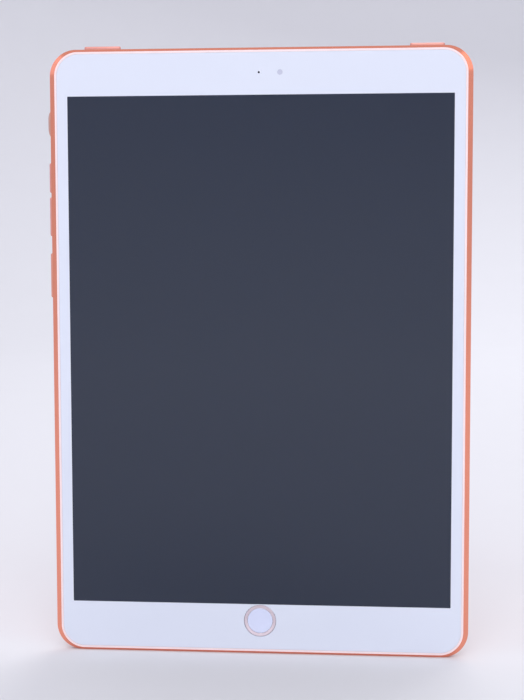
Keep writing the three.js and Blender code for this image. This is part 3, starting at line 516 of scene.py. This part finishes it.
def flash_diffuser():
    """A lens moulded with small square facets over a phosphor: pale yellow, broken highlights."""
    value = linear("#EFE7C6")
    material, tree, shader, where = new_material("polycarbonate_faceted", value, 0.2, IOR=1.58)
    facets = node(tree, "ShaderNodeTexVoronoi", {"Vector": where, "Scale": 1 / (0.5 * MM)}, feature="F1")
    bump(tree, shader, facets.outputs["Distance"], 0.08 * MM, 0.8)
    tree.links.new(tint(tree, facets.outputs["Distance"], value, linear("#F3C66B")), shader.inputs["Base Color"])
    return material


# Finishes whose colour isn't the user's: what makes each, then its name, colour, roughness and, on plastics, its
# grain. A finish that a material slot of the record takes has the slot's name.
FIXED_FINISHES = {
    # the trim's pale pinkish white is a painted highlight: it stands for the bright line along the glass's edge
    "line": (moulded_plastic, "moulded_trim_blush", "#FCE6E7", 0.35),  # a soft gloss on pinkish white
    "lens": (dark_glass, "coated_lens_glass", "#1A1533"),  # violet black
    "black_glass": (dark_glass, "glass_over_black_ink", "#0B0C10"),
    "sensor": (dark_glass, "glass_over_grey_filter", "#C4C8DB", 0.12),  # pale and duller than a lens
    "plastic": (moulded_plastic, "polycarbonate_black", "#131416", 0.5),
    "diffuser": (flash_diffuser,),
    "band": (moulded_plastic, "moulded_nylon_dyed", "#E6C0B3", 0.42),  # paler than the metal round it
    "steel": (bare_metal, "stainless_steel_drawn", "#B9BCC1"),
    "contact": (bare_metal, "gold_plated_contacts", "#D9B45E", 0.2),  # glossier than bare steel
    "mask": (moulded_plastic, "polyester_film_white_ink", "#DDE3F6", 0.5),
    "panel": (dark_glass, "liquid_crystal_laminate", "#2B303C"),
    "cell": (moulded_plastic, "laminated_pouch_black", "#202326", 0.3, 2 * MM),  # glossy, with soft dents
    "pad": (moulded_plastic, "acrylic_adhesive_sheet", "#E2E1DB", 0.6),
    "adhesive": (moulded_plastic, "acrylic_foam_black", "#1E1E20", 0.8),  # dull black
    "gasket": (moulded_plastic, "silicone_moulded", "#28282B", 0.7),
    "board": (circuit_board,),
    "chip": (moulded_plastic, "epoxy_chip_package", "#1B1C1F", 0.55),
    "flex": (moulded_plastic, "polyimide_flex", "#A8642A", 0.35, 1 * MM),  # amber film
    "mesh": (woven_mesh,),
    "antenna": (moulded_plastic, "plated_antenna_film", "#8C6A3A", 0.35),  # dull copper
}


def recipe(key):
    """The finish of that name, new."""
    colours = bpy.context.scene.tablet_colours
    dyed = {
        "aluminium": (blasted_aluminium, "anodised_aluminium_blasted", colours.metal[:]),
        "key": (blasted_aluminium, "anodised_aluminium_blasted_keys", linear("#E7A196")),
        "nub": (blasted_aluminium, "anodised_aluminium_blasted_nub", linear("#D5A79A")),
        "polished": (cut_aluminium, "anodised_aluminium_diamond_cut", colours.metal_cut[:], 0.5),
        "ring": (cut_aluminium, "anodised_aluminium_polished_pale", colours.ring[:], 0.0),
        "cover_glass": (white_border_glass, colours.ink[:]),
        "screen": (screen_glass, colours.screen[:]),
        "button_glass": (sapphire_disc, colours.button[:]),
    }
    make, *facts = {**FIXED_FINISHES, **dyed}[key]
    return make(*facts)


MADE = {}


def finish(key):
    """The finish of that name, made when it is first asked for."""
    if key not in MADE:
        MADE[key] = recipe(key)
    return MADE[key]


# ---- Pieces ----

OVERRUN = 1 * MM  # how far a cutting shape passes the faces it cuts
FIT = 0.1 * MM  # room between a part and its opening
HAIR = 0.001 * MM  # keeps the two half circles of a pill apart
EVEN_ROW = 0.05 * MM  # from a rounded edge to the row that keeps a flat face's shading even
EASE = 0.2 * MM  # what outline_rows takes for a small piece
OUTLINE_STEPS, OUTLINE_EASE = 22, 1.5 * MM  # and what it takes for the body and the glass

PUSH_KEYS = {"power_key": "top", "function_key": "top", "volume_up_key": "left", "volume_down_key": "left"}
FLANGE_REACH = 0.7 * MM  # how far a key's flange goes past each end of the key
FLANGE_THICK = 0.5 * MM
FLANGE_BACK = 2.55 * MM  # how far behind the edge's face the flange ends
MUTE_TRAVEL = 2 * MM

TRAY_FACE = 1.2 * MM  # how far the tray's plate sinks into the wall
BLADE_WIDTH, BLADE_THICK = 14.4 * MM, 0.7 * MM
BLADE_DEPTH = 3.075 * MM  # depth of the blade's middle
SLOT_BACK = 3 * MM  # how far behind the edge's face the blade's slot and the eject hole go

PORT_REACH = 9 * MM  # how far the charging port's opening goes in
JACK_BORE = 1.8 * MM  # radius
JACK_NECK, JACK_REACH = 3.6 * MM, 19 * MM  # where the headphone opening widens, and how far it goes in
HOLES = {  # radius and number of the holes in front of each part behind the bottom wall
    "speaker_mesh_left": (0.65 * MM, 9),
    "speaker_mesh_right": (0.65 * MM, 9),
    "bottom_microphone": (0.5 * MM, 1),
}
HOLE_PITCH = 2.8 * MM
HOLE_REACH = 2.1 * MM  # how far a hole goes in, just past the face of its pocket
POCKET_FACE = 1.95 * MM
POCKET_ROOM = 0.2 * MM  # also the pocket's corner radius


def spans(part):
    """A CAD part's middle and size along x, along y and along z."""
    return zip(box_middle(part), box_size(part))


def round_part(part):
    """A round CAD part seen from the front: its place, its radius and the depths of its back and front."""
    low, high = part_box(part)
    x, _, z = box_middle(part)
    return facing_front(x, z), (high[0] - low[0]) / 2, -high[1], -low[1]


def key_facts(part, edge):
    """A key's place on its edge, its length and width, and how far it stands proud."""
    middle, size = box_middle(part), box_size(part)
    low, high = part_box(part)
    along = 0 if edge == "top" else 2
    proud = high[2] - HOUSING[2] / 2 if edge == "top" else -low[0] - HOUSING[0] / 2
    return edge_place(edge, middle[along], -middle[1]), size[along] - 2 * FLANGE_REACH, size[1], proud


def tray_facts():
    """The card tray's place on the left edge, its plate's length and width, and how far it stands proud."""
    place, length, width, proud = key_facts("card_tray", "left")
    return place, length + 2 * FLANGE_REACH, width, proud


def key_base(place, length, width, corner, gap=0.0, slide=0.0, top=0.0):
    """Rows of a key's flange and shaft, from behind to top; with a gap they are the slot that it moves in.

    slide makes the slot longer towards the bottom of the tablet.
    """
    moved = Place(place.origin - place.across * slide / 2, place.across, place.up, place.out)
    broad = length + 2 * FLANGE_REACH + 2 * gap + slide
    long, high, radius = length + 2 * gap + slide, width + 2 * gap, corner + gap
    behind, face = -FLANGE_BACK - gap, -FLANGE_BACK + FLANGE_THICK + gap
    if gap:
        behind -= OVERRUN
    flange = outline_rows(moved, broad, high, radius, [(0, behind), (0, face)])
    return np.concatenate([flange, outline_rows(moved, long, high, radius, [(0, face), (0, top)])])


def crown(edge, proud):
    """Profile of a key's end: straight sides, a rounded edge and a flat face."""
    return [*quarter((0, proud - edge), (edge, proud), hollow=True), (edge + EVEN_ROW, proud)]


def nub_top(place, length, width, proud):
    """The end of the sliding nub, a lens: it starts as the slot's pill and shrinks to a crest on its centre line.

    With t from 0 to nearly a quarter turn, its length is the cosine of t to the power 0.62, its width the cosine
    to the power 0.45, and its height the sine of t.
    """
    corner, nearly_half, crest = 0.9 * MM, 0.98, 0.06
    rows = []
    for t in np.linspace(0, math.pi / 2 - crest, 12):
        long, high = length * math.cos(t) ** 0.62, width * math.cos(t) ** 0.45
        rows.append(outline_rows(place, long, high, min(corner, high / 2 * nearly_half), [(0, proud * math.sin(t))]))
    return np.concatenate(rows)


def tube(place, radius, start, end, steps):
    """A round cutting shape between two levels."""
    return disc_rows(place, radius, [(0, start), (0, end)], steps)


def bar(place, length, width, radius, start, end, steps):
    """A cutting shape with a rounded-rectangle outline between two levels."""
    return outline_rows(place, length, width, radius, [(0, start), (0, end)], steps)


def body_profile(s):
    """The housing's section in three runs: the outside from the middle of the back, the front rim, the inside."""
    front, side = HOUSING[1], s.side_extra
    ledge_back = s.ledge_front - s.ledge_thick
    bay_round, bay_round_depth = 5 * MM, 3.2 * MM  # the rounded corner between the wall and the floor inside
    ease = 0.4 * MM  # from each rounding to the row that keeps the flat part's shading even
    outside = [(s.back_round + ease, 0)]
    outside += quarter((s.back_round, 0), (0, s.back_round_depth), 14)
    outside += [(0, s.back_round_depth + ease), (0, front - s.slope_depth)]
    rim = [(s.rim - s.lip, front, side), (s.rim, front, side), (s.rim, s.ledge_front, side)]
    rim += [(s.ledge, s.ledge_front, side), (s.ledge, ledge_back, side)]
    inside = [(s.wall, ledge_back)]
    inside += quarter((s.wall, s.floor + bay_round_depth), (s.wall + bay_round, s.floor), 5, hollow=True)
    return outside, rim, inside + [(s.wall + bay_round + ease, s.floor)]


def bottom_level(z, reach):
    """Level, on the bottom edge, of the outer end of a part with its middle at z."""
    return -HOUSING[2] / 2 - (z - reach / 2)


def bottom_cuts():
    """Rows of the openings in the bottom edge, and of the pockets behind the smaller ones."""
    (x, width), (y, thick), _ = spans("charge_port_shell")
    port = edge_place("bottom", x, -y)
    openings = [bar(port, width + FIT, thick + FIT, thick / 2, -PORT_REACH, OVERRUN, 10)]
    (x, width), (y, _), _ = spans("headphone_socket")
    jack = edge_place("bottom", x, -y)
    socket = tube(jack, width / 2 + FIT, -JACK_REACH, -JACK_NECK, 12)
    openings.append(np.concatenate([socket, tube(jack, JACK_BORE, -JACK_NECK, OVERRUN, 12)]))
    pockets = []
    for part, (hole, count) in HOLES.items():
        (x, width), (y, thick), (_, deep) = spans(part)
        for k in range(count):
            place = edge_place("bottom", x + (k - (count - 1) / 2) * HOLE_PITCH, -y)
            openings.append(tube(place, hole, -HOLE_REACH, OVERRUN, 5))
        place, back = edge_place("bottom", x, -y), -POCKET_FACE - deep - POCKET_ROOM
        pockets.append(bar(place, width + FIT, thick + FIT, POCKET_ROOM, back, -POCKET_FACE, 2))
    return openings, pockets


def back_cuts():
    """Rows of the round holes in the back for camera and flash, and of the antenna band's groove."""
    hole_end, gap = 1.2 * MM, 0.06 * MM
    rows = []
    for part in ("rear_camera_ring", "flash_window"):
        place, radius, _, _ = round_part(part)
        rows.append(tube(place, radius + FIT, -OVERRUN, hole_end, 14))
    (x, length), (_, deep), (z, width) = spans("antenna_band")
    groove = bar(facing_front(x, z), length + gap, width + gap, width / 2, -OVERRUN, deep + FIT, 6)
    return [*rows, groove]


def key_cuts(s):
    """Rows of the slots of the keys and the nub, and of the card tray's opening."""
    gap, corner = s.key_gap, s.key_corner
    rows = []
    for name, edge in (*PUSH_KEYS.items(), ("mute_slider", "left")):
        place, length, width, _ = key_facts(name, edge)
        slide = MUTE_TRAVEL if name == "mute_slider" else 0
        rows.append(key_base(place, length, width, corner, gap, slide, OVERRUN))
    place, length, width, _ = tray_facts()
    plate = bar(place, length + 2 * gap, width + 2 * gap, corner + gap, -TRAY_FACE - gap, OVERRUN, 10)
    return [*rows, plate]


class TABLET_OT_housing(bpy.types.Operator):
    """Build the metal body with its cut slope, a thin trim beside the glass whose pale pink is a painted highlight,
    and all its openings
    """

    bl_idname = "tablet.housing"
    bl_label = "Housing"

    def execute(self, context):
        s = context.scene.tablet_sizes
        outside, rim, inside = body_profile(s)
        profile = outside + rim + inside
        rows = outline_rows(facing_front(), HOUSING[0], HOUSING[2], s.corner, profile, OUTLINE_STEPS, OUTLINE_EASE)
        slope = len(outside) - 1
        # the lip beside the glass takes the pale trim finish, a painted highlight
        bands = [(slope, slope + 1, 1), (slope + 1, slope + 2, 2)]
        piece = skin("housing", [rows], ["aluminium", "polished", "line"], bands)
        openings, pockets = bottom_cuts()
        place, gap = edge_place("left", tray_facts()[0].origin[2], BLADE_DEPTH), 0.2 * MM
        blade = bar(place, BLADE_WIDTH + 1.5 * gap, BLADE_THICK + gap, gap, -SLOT_BACK, -TRAY_FACE, 2)
        through = skin("cut_a", [*key_cuts(s), *openings, *back_cuts()])
        carve(piece, through, skin("cut_b", [*pockets, blade]))
        stand_for(piece, "tablet", "aluminium", "rear_housing")
        return {"FINISHED"}


class TABLET_OT_glass(bpy.types.Operator):
    """Build the cover glass with its white border and dark screen, and the two small windows above the screen"""

    bl_idname = "tablet.glass"
    bl_label = "Cover glass"

    def execute(self, context):
        s = context.scene.tablet_sizes
        low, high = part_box("cover_glass")
        back, front = -high[1], -low[1]
        back_edge, support, screen_corner, screen_ease = 0.1 * MM, 0.3 * MM, 0.3 * MM, 0.1 * MM
        corner = s.corner - (HOUSING[2] - GLASS[2]) / 2
        profile = solid_profile(back, front, back_edge, s.glass_edge, support)
        plate = outline_rows(facing_front(), GLASS[0], GLASS[2], corner, profile, OUTLINE_STEPS, OUTLINE_EASE)
        middle, border = facing_front(0, s.screen_z), [(0, front)]
        size = s.screen_width, s.screen_height
        screen = outline_rows(middle, *size, screen_corner, border, OUTLINE_STEPS, screen_ease)
        rows = np.concatenate([plate, screen])
        bands = [(len(rows), len(rows) + 1, 1)]
        glass = skin("front_glass", [rows], ["cover_glass", "screen"], bands)
        windows = (
            ("front_camera_window", "front_camera_module", 0.45 * MM, "black_glass", "lens"),
            ("light_sensor_window", "ambient_light_sensor", 1.1 * MM, "sensor", "cover_glass"),
        )
        place, radius, _, _ = round_part("home_button_ring")
        button_gap, window_gap, window_edge = 0.12 * MM, 0.01 * MM, 0.02 * MM
        holes = [tube(place, radius + button_gap, back - OVERRUN, front + OVERRUN, 24)]
        for _, part, radius, _, _ in windows:
            holes.append(tube(round_part(part)[0], radius, back - OVERRUN, front + OVERRUN, 10))
        carve(glass, skin("cut_a", holes))
        stand_for(glass, "tablet", "cover_glass", "cover_glass")
        profile = solid_profile(back, front, window_edge, window_edge, window_edge)
        for name, part, radius, key, slot in windows:
            rows = disc_rows(round_part(part)[0], radius - window_gap, profile, 10)
            stand_for(skin(name, [rows], [key]), "tablet", slot)
        return {"FINISHED"}


class TABLET_OT_home_button(bpy.types.Operator):
    """Build the home button: a cut metal ring round a slightly hollow disc"""

    bl_idname = "tablet.home_button"
    bl_label = "Home button"

    def execute(self, context):
        s = context.scene.tablet_sizes
        place, radius, back, front = round_part("home_button_ring")
        wide, flat, edge, lean = 1.32 * MM, 0.45 * MM, 0.12 * MM, 0.25 * MM
        section = [(0, back), (0, front - edge), (edge, front), (edge + flat, front)]
        section += [(wide, front - lean), (wide, back)]
        ring = skin("button_ring", [disc_rows(place, radius, section, 24)], ["ring"], wrap=True)
        stand_for(ring, "home_button", "polished", "home_button_ring")
        _, radius, back, front = round_part("home_button_cap")
        cut, middle_flat = 0.1 * MM, 0.25 * MM
        profile = [(cut, back), (0, back + cut), (0, front - edge), (edge / 3, front - edge / 3)]
        inset = np.linspace(edge, radius - middle_flat, 12)
        share = (radius - inset) / radius
        profile += zip(inset, front - s.dish * (1 - share**2))
        disc = skin("button_disc", [disc_rows(place, radius, profile, 24)], ["button_glass"])
        stand_for(disc, "home_button", "button_glass", "home_button_cap")
        return {"FINISHED"}


class TABLET_OT_keys(bpy.types.Operator):
    """Build the four push keys, each with the flange that holds it behind the wall"""

    bl_idname = "tablet.keys"
    bl_label = "Push keys"

    def execute(self, context):
        s = context.scene.tablet_sizes
        for name, edge in PUSH_KEYS.items():
            place, length, width, proud = key_facts(name, edge)
            base = key_base(place, length, width, s.key_corner)
            end = outline_rows(place, length, width, s.key_corner, crown(s.key_edge, proud))
            cap = skin(f"{name}_cap", [np.concatenate([base, end])], ["key"])
            stand_for(cap, name, "aluminium", name)
        return {"FINISHED"}


class TABLET_OT_mute_slider(bpy.types.Operator):
    """Build the sliding nub above the volume keys"""

    bl_idname = "tablet.mute_slider"
    bl_label = "Sliding nub"

    def execute(self, context):
        s = context.scene.tablet_sizes
        place, length, width, proud = key_facts("mute_slider", "left")
        base = key_base(place, length, width, s.key_corner)
        rows = np.concatenate([base, nub_top(place, length, width, proud)])
        stand_for(skin("mute_nub", [rows], ["nub"]), "mute_slider", "aluminium", "mute_slider")
        return {"FINISHED"}


class TABLET_OT_card_tray(bpy.types.Operator):
    """Build the card tray: a plate with an eject hole, and a blade with room for the card"""

    bl_idname = "tablet.card_tray"
    bl_label = "Card tray"

    def execute(self, context):
        s = context.scene.tablet_sizes
        place, length, width, proud = tray_facts()
        z, cut = place.origin[2], 0.1 * MM
        profile = [(cut, -TRAY_FACE), (0, -TRAY_FACE + cut), *crown(s.key_edge, proud)]
        rows = outline_rows(place, length, width, s.key_corner, profile)
        tray = skin("card_tray_plate", [rows], ["aluminium"])
        blade_place, blade_corner, overlap = edge_place("left", z, BLADE_DEPTH), 0.15 * MM, 0.3 * MM
        far, root = proud - box_size("card_tray")[0], -TRAY_FACE + overlap
        blade = skin("blade", [bar(blade_place, BLADE_WIDTH, BLADE_THICK, blade_corner, far, root, 3)])
        card_width, card_height, card_rim, card_corner = 12.4 * MM, 8.9 * MM, 1.2 * MM, 0.6 * MM
        card_place = facing_front(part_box("card_tray")[1][0] - card_rim - card_height / 2, z)
        card = skin("cut_a", [bar(card_place, card_height, card_width, card_corner, 0, HOUSING[1], 4)])
        eject_radius, eject_rise = 0.45 * MM, 2.4 * MM
        eject = edge_place("left", z - length / 2 + eject_rise, -place.origin[1])
        hole = skin("cut_b", [tube(eject, eject_radius, -SLOT_BACK, proud + OVERRUN, 8)])
        combine(tray, "UNION", blade)
        carve(tray, card, hole)
        stand_for(tray, "card_tray", "aluminium", "card_tray")
        return {"FINISHED"}


class TABLET_OT_charge_port(bpy.types.Operator):
    """Build the charging port: its drawn shell, and the tongue with its contacts"""

    bl_idname = "tablet.charge_port"
    bl_label = "Charging port"

    def execute(self, context):
        (x, width), (y, thick), (z, reach) = spans("charge_port_shell")
        place, mouth = edge_place("bottom", x, -y), bottom_level(z, reach)
        wall, cut, inner_cut = 0.3 * MM, 0.1 * MM, 0.08 * MM
        section = [(0, mouth - reach), (0, mouth - cut), (cut, mouth), (wall - inner_cut, mouth)]
        section += [(wall, mouth - cut), (wall, mouth - reach + wall)]
        rows = outline_rows(place, width, thick, thick / 2 - HAIR, section, 12, EASE)
        stand_for(skin("port_shell", [rows], ["steel"]), "tablet", "steel", "charge_port_shell")
        (_, width), (_, thick), (z, reach) = spans("charge_port_tongue")
        tip, corner, back_edge, tip_edge = bottom_level(z, reach), 0.3 * MM, 0.05 * MM, 0.2 * MM
        profile = solid_profile(tip - reach, tip, back_edge, tip_edge, EVEN_ROW)
        tongue = skin("port_tongue", [outline_rows(place, width, thick, corner, profile, 6)], ["plastic"])
        stand_for(tongue, "tablet", "plastic", "charge_port_tongue")
        count, pitch, from_tip = 8, 0.72 * MM, 2 * MM
        pad_width, pad_length, pad_corner, pad_rise, pad_half = 0.4 * MM, 2.6 * MM, 0.1 * MM, 0.01 * MM, 0.02 * MM
        pads = []
        for k in range(count):
            pad = facing_front(x + (k - (count - 1) / 2) * pitch, -HOUSING[2] / 2 - tip + from_tip)
            for side in (-1, 1):
                level = -y + side * (thick / 2 + pad_rise)
                pads.append(bar(pad, pad_width, pad_length, pad_corner, level - pad_half, level + pad_half, 2))
        stand_for(skin("port_contacts", pads, ["contact"]), "tablet", "steel")
        return {"FINISHED"}


class TABLET_OT_headphone_socket(bpy.types.Operator):
    """Build the headphone socket: a barrel that is closed at its inner end, with a spring contact round its bore"""

    bl_idname = "tablet.headphone_socket"
    bl_label = "Headphone socket"

    def execute(self, context):
        (x, width), (y, _), (z, reach) = spans("headphone_socket")
        place, mouth, wall = edge_place("bottom", x, -y), bottom_level(z, reach), width / 2 - JACK_BORE
        end_wall, spring_in, spring_out, spring_thick = 0.6 * MM, 1.6 * MM, 1.2 * MM, 0.2 * MM
        section = [(0, mouth - reach), (0, mouth), (wall, mouth), (wall, mouth - reach + end_wall)]
        socket = skin("jack_socket", [disc_rows(place, width / 2, section, 10)], ["plastic"])
        stand_for(socket, "tablet", "plastic", "headphone_socket")
        section = [(0, mouth - spring_in), (0, mouth - spring_out)]
        section += [(spring_thick, mouth - spring_out), (spring_thick, mouth - spring_in)]
        contact = skin("jack_contact", [disc_rows(place, JACK_BORE, section, 10)], ["contact"], wrap=True)
        stand_for(contact, "tablet", "steel")
        return {"FINISHED"}


class TABLET_OT_rear_camera(bpy.types.Operator):
    """Build the rear camera: a cut metal ring, and a window with a bulging lens at the bottom of a shallow cone"""

    bl_idname = "tablet.rear_camera"
    bl_label = "Rear camera"

    def execute(self, context):
        place, radius, _, _ = round_part("rear_camera_ring")
        deep, wide, edge = box_size("rear_camera_ring")[1], 0.8 * MM, 0.15 * MM
        section = [(0, deep), (0, edge), (edge, 0), (wide - edge, 0), (wide, edge), (wide, deep)]
        ring = skin("camera_ring", [disc_rows(place, radius, section, 20)], ["polished"], wrap=True)
        stand_for(ring, "tablet", "polished", "rear_camera_ring")
        _, radius, back, front = round_part("rear_camera_window")
        lens_radius, sink, bulge, cut = 1.5 * MM, 0.22 * MM, 0.2 * MM, 0.1 * MM
        share = np.linspace(0.08, 1, 8)
        profile = [*zip(radius - lens_radius * share, back + sink + bulge * share**2)]
        bands = [(0, len(profile) - 1, 1)]
        rim = radius - lens_radius
        cone = ((0.1, 0.45), (0.6, 0.12), (0.65, 0))  # mm outwards from the lens, and mm below the face
        profile += [(rim - out * MM, back + down * MM) for out, down in cone]
        profile += [(cut, back), (0, back + cut), (0, front)]
        rows = disc_rows(place, radius, profile, 20)
        window = skin("camera_window", [rows], ["black_glass", "lens"], bands)
        stand_for(window, "tablet", "lens", "rear_camera_window")
        return {"FINISHED"}


class TABLET_OT_flash_lens(bpy.types.Operator):
    """Build the flash lens, with fine rings moulded in its face"""

    bl_idname = "tablet.flash_lens"
    bl_label = "Flash lens"

    def execute(self, context):
        place, radius, back, front = round_part("flash_window")
        count, ridge, sink, core, border = 15, 0.1 * MM, 0.05 * MM, 0.1 * MM, 0.25 * MM
        reach = np.linspace(core, radius - border, count)
        profile = [*zip(radius - reach, back + sink + ridge * (np.arange(count) % 2))]
        profile += [(0.2 * MM, back), (sink, back), (0, back + sink), (0, front)]
        lens = skin("flash_lens", [disc_rows(place, radius, profile, 16)], ["diffuser"])
        stand_for(lens, "tablet", "diffuser", "flash_window")
        return {"FINISHED"}


class TABLET_OT_antenna_band(bpy.types.Operator):
    """Build the plastic antenna band across the back"""

    bl_idname = "tablet.antenna_band"
    bl_label = "Antenna band"

    def execute(self, context):
        (x, length), (_, front), (z, width) = spans("antenna_band")
        profile = solid_profile(0, front, 0.03 * MM, 0.05 * MM)
        rows = outline_rows(facing_front(x, z), length, width, width / 2 - HAIR, profile, 8, EASE)
        stand_for(skin("band", [rows], ["band"]), "tablet", "band", "antenna_band")
        return {"FINISHED"}


class TABLET_OT_inner_parts(bpy.types.Operator):
    """Give every carried-over part the finish of its material slot"""

    bl_idname = "tablet.inner_parts"
    bl_label = "Inner parts"

    def execute(self, context):
        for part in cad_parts.values():
            for index, old in enumerate(part.data.materials):
                part.data.materials[index] = finish(old.name)
        return {"FINISHED"}


# ---- Stage ----


# Name, place, width, power in watts and colour of each lamp; lengths on the stage are in metres
SOFTBOXES = (
    ("key_light", (-1.4, -0.86, 0.9), 1.1, 2.0, "#EEEFFF"),
    ("fill_light", (1.3, -0.9, 0.9), 1.1, 2.5, "#FFEEE4"),
    ("front_light", (0.1, -1.7, 1.5), 1.5, 17.5, "#FFFFFF"),
    ("rear_light", (0.5, 1.7, 1.5), 1.5, 15, "#FFFFFF"),
)
SKY_COLOUR, SKY_STRENGTH = "#F8F6FF", 0.8
LENS, SENSOR = 74.6, 36  # focal length and sensor width, in mm
DISTANCE, NEAREST, FARTHEST = 0.605, 0.01, 20  # from the camera to its target, and what it can see
AZIMUTH, ELEVATION, ROLL = 5.1, 4.75, -0.13  # degrees


def stage_bowl(height):
    """The floor: a round sheet that is flat round the tablet and rises in a quarter circle to a low wall.

    A point is its reach from the middle, turned round it; its height is nil on the flat, one less the cosine of
    the bend's angle on the bend, and grows evenly on the wall.
    """
    flat, bend, wall, hub = 1.6, 1.4, 0.5, 0.02
    t = np.linspace(0, math.pi / 2, 24)
    level = np.linspace(hub, flat, 8)[:-1]
    reach = np.concatenate([level, flat + bend * np.sin(t), [flat + bend]])
    rise = np.concatenate([np.zeros(len(level)), bend * (1 - np.cos(t)), [bend + wall]])
    around = np.linspace(0, 2 * math.pi, 96, endpoint=False)
    x, y = reach[:, None] * np.cos(around), reach[:, None] * np.sin(around)
    points = np.stack([x, y, np.broadcast_to((rise + height)[:, None], x.shape)], axis=-1)
    mesh = bpy.data.meshes.new("studio_floor")
    quads = grid_faces(len(reach), len(around), 0, False).tolist()
    mesh.from_pydata(points.reshape(-1, 3).tolist(), [], [list(range(len(around)))[::-1], *quads])
    mesh.polygons.foreach_set("use_smooth", np.ones(len(mesh.polygons), bool))
    return add_object("studio_floor", mesh)


def paper(value):
    """Seamless studio paper: matt, with a very faint mottling 60 mm across."""
    material, tree, shader, where = new_material("seamless_paper", value, 0.9, IOR=1.3)
    mottle = noise(tree, where, 60 * MM, 3).outputs["Fac"]
    tree.links.new(tint(tree, mottle, shade(value, 0.985), value), shader.inputs["Base Color"])
    return material


def softbox(name, place, size, power, tone):
    """A square area light that faces the origin and isn't seen itself."""
    light = bpy.data.lights.new(name, "AREA")
    light.shape, light.size, light.energy, light.color = "SQUARE", size, power, linear(tone)
    box = add_object(name, light)
    box.location = place
    box.visible_camera = False
    box.rotation_euler = (-Vector(place)).to_track_quat("-Z", "Y").to_euler()


def camera_frame(azimuth, elevation, roll):
    """The camera's right, up and backward directions, from degrees.

    Azimuth turns it towards +X, elevation lifts it, and roll turns it about its own axis.
    """
    a, e, r = (math.radians(v) for v in (azimuth, elevation, roll))
    back = Vector((math.sin(a) * math.cos(e), -math.cos(a) * math.cos(e), math.sin(e)))
    right = Vector((math.cos(a), math.sin(a), 0))
    up = back.cross(right)
    turned_right = right * math.cos(r) + up * math.sin(r)
    return turned_right, up * math.cos(r) - right * math.sin(r), back


class TABLET_OT_stage(bpy.types.Operator):
    """Set up the pale floor, the soft lights and the camera"""

    bl_idname = "tablet.stage"
    bl_label = "Studio"

    def execute(self, context):
        floor = stage_bowl(CAD_BOX[0][2])
        floor.data.materials.append(paper(context.scene.tablet_colours.floor[:]))
        world = bpy.data.worlds.new("studio")
        world.use_nodes = True
        sky = world.node_tree.nodes["Background"]
        sky.inputs["Color"].default_value = (*linear(SKY_COLOUR), 1)
        sky.inputs["Strength"].default_value = SKY_STRENGTH
        context.scene.world = world
        for facts in SOFTBOXES:
            softbox(*facts)
        data = bpy.data.cameras.new("camera")
        data.lens, data.sensor_width, data.sensor_fit = LENS, SENSOR, "AUTO"
        data.clip_start, data.clip_end = NEAREST, FARTHEST
        camera = add_object("camera", data)
        right, up, back = camera_frame(AZIMUTH, ELEVATION, ROLL)
        target = Vector((1.1 * MM, -HOUSING[1], 2.35 * MM))
        turn = Matrix((right, up, back)).transposed()
        camera.matrix_world = Matrix.Translation(target + back * DISTANCE) @ turn.to_4x4()
        context.scene.camera = camera
        context.scene.view_settings.view_transform = "Standard"
        return {"FINISHED"}


# ---- Add-on ----

STEPS = (
    TABLET_OT_housing,
    TABLET_OT_glass,
    TABLET_OT_home_button,
    TABLET_OT_keys,
    TABLET_OT_mute_slider,
    TABLET_OT_card_tray,
    TABLET_OT_charge_port,
    TABLET_OT_headphone_socket,
    TABLET_OT_rear_camera,
    TABLET_OT_flash_lens,
    TABLET_OT_antenna_band,
    TABLET_OT_inner_parts,
    TABLET_OT_stage,
)


class TABLET_PT_panel(bpy.types.Panel):
    """Lists the pieces and their sizes and colours"""

    bl_idname = "TABLET_PT_panel"
    bl_label = "Tablet computer"
    bl_space_type = "VIEW_3D"
    bl_region_type = "UI"
    bl_category = "Tablet"

    def draw(self, context):
        for step in STEPS:
            self.layout.operator(step.bl_idname)
        for group in (context.scene.tablet_sizes, context.scene.tablet_colours):
            for key in group.bl_rna.properties.keys():
                if key not in ("rna_type", "name"):
                    self.layout.prop(group, key)


CLASSES = (TabletSizes, TabletColours, *STEPS, TABLET_PT_panel)


def register():
    """Adds the classes, and the sizes and colours to the scene."""
    for cls in CLASSES:
        bpy.utils.register_class(cls)
    bpy.types.Scene.tablet_sizes = PointerProperty(type=TabletSizes)
    bpy.types.Scene.tablet_colours = PointerProperty(type=TabletColours)


def unregister():
    """Takes them off again."""
    del bpy.types.Scene.tablet_colours
    del bpy.types.Scene.tablet_sizes
    for cls in reversed(CLASSES):
        bpy.utils.unregister_class(cls)


def main():
    """Builds everything in order."""
    register()
    for step in STEPS:
        _, name = step.bl_idname.split(".")
        getattr(bpy.ops.tablet, name)()


if __name__ == "__main__":
    main()
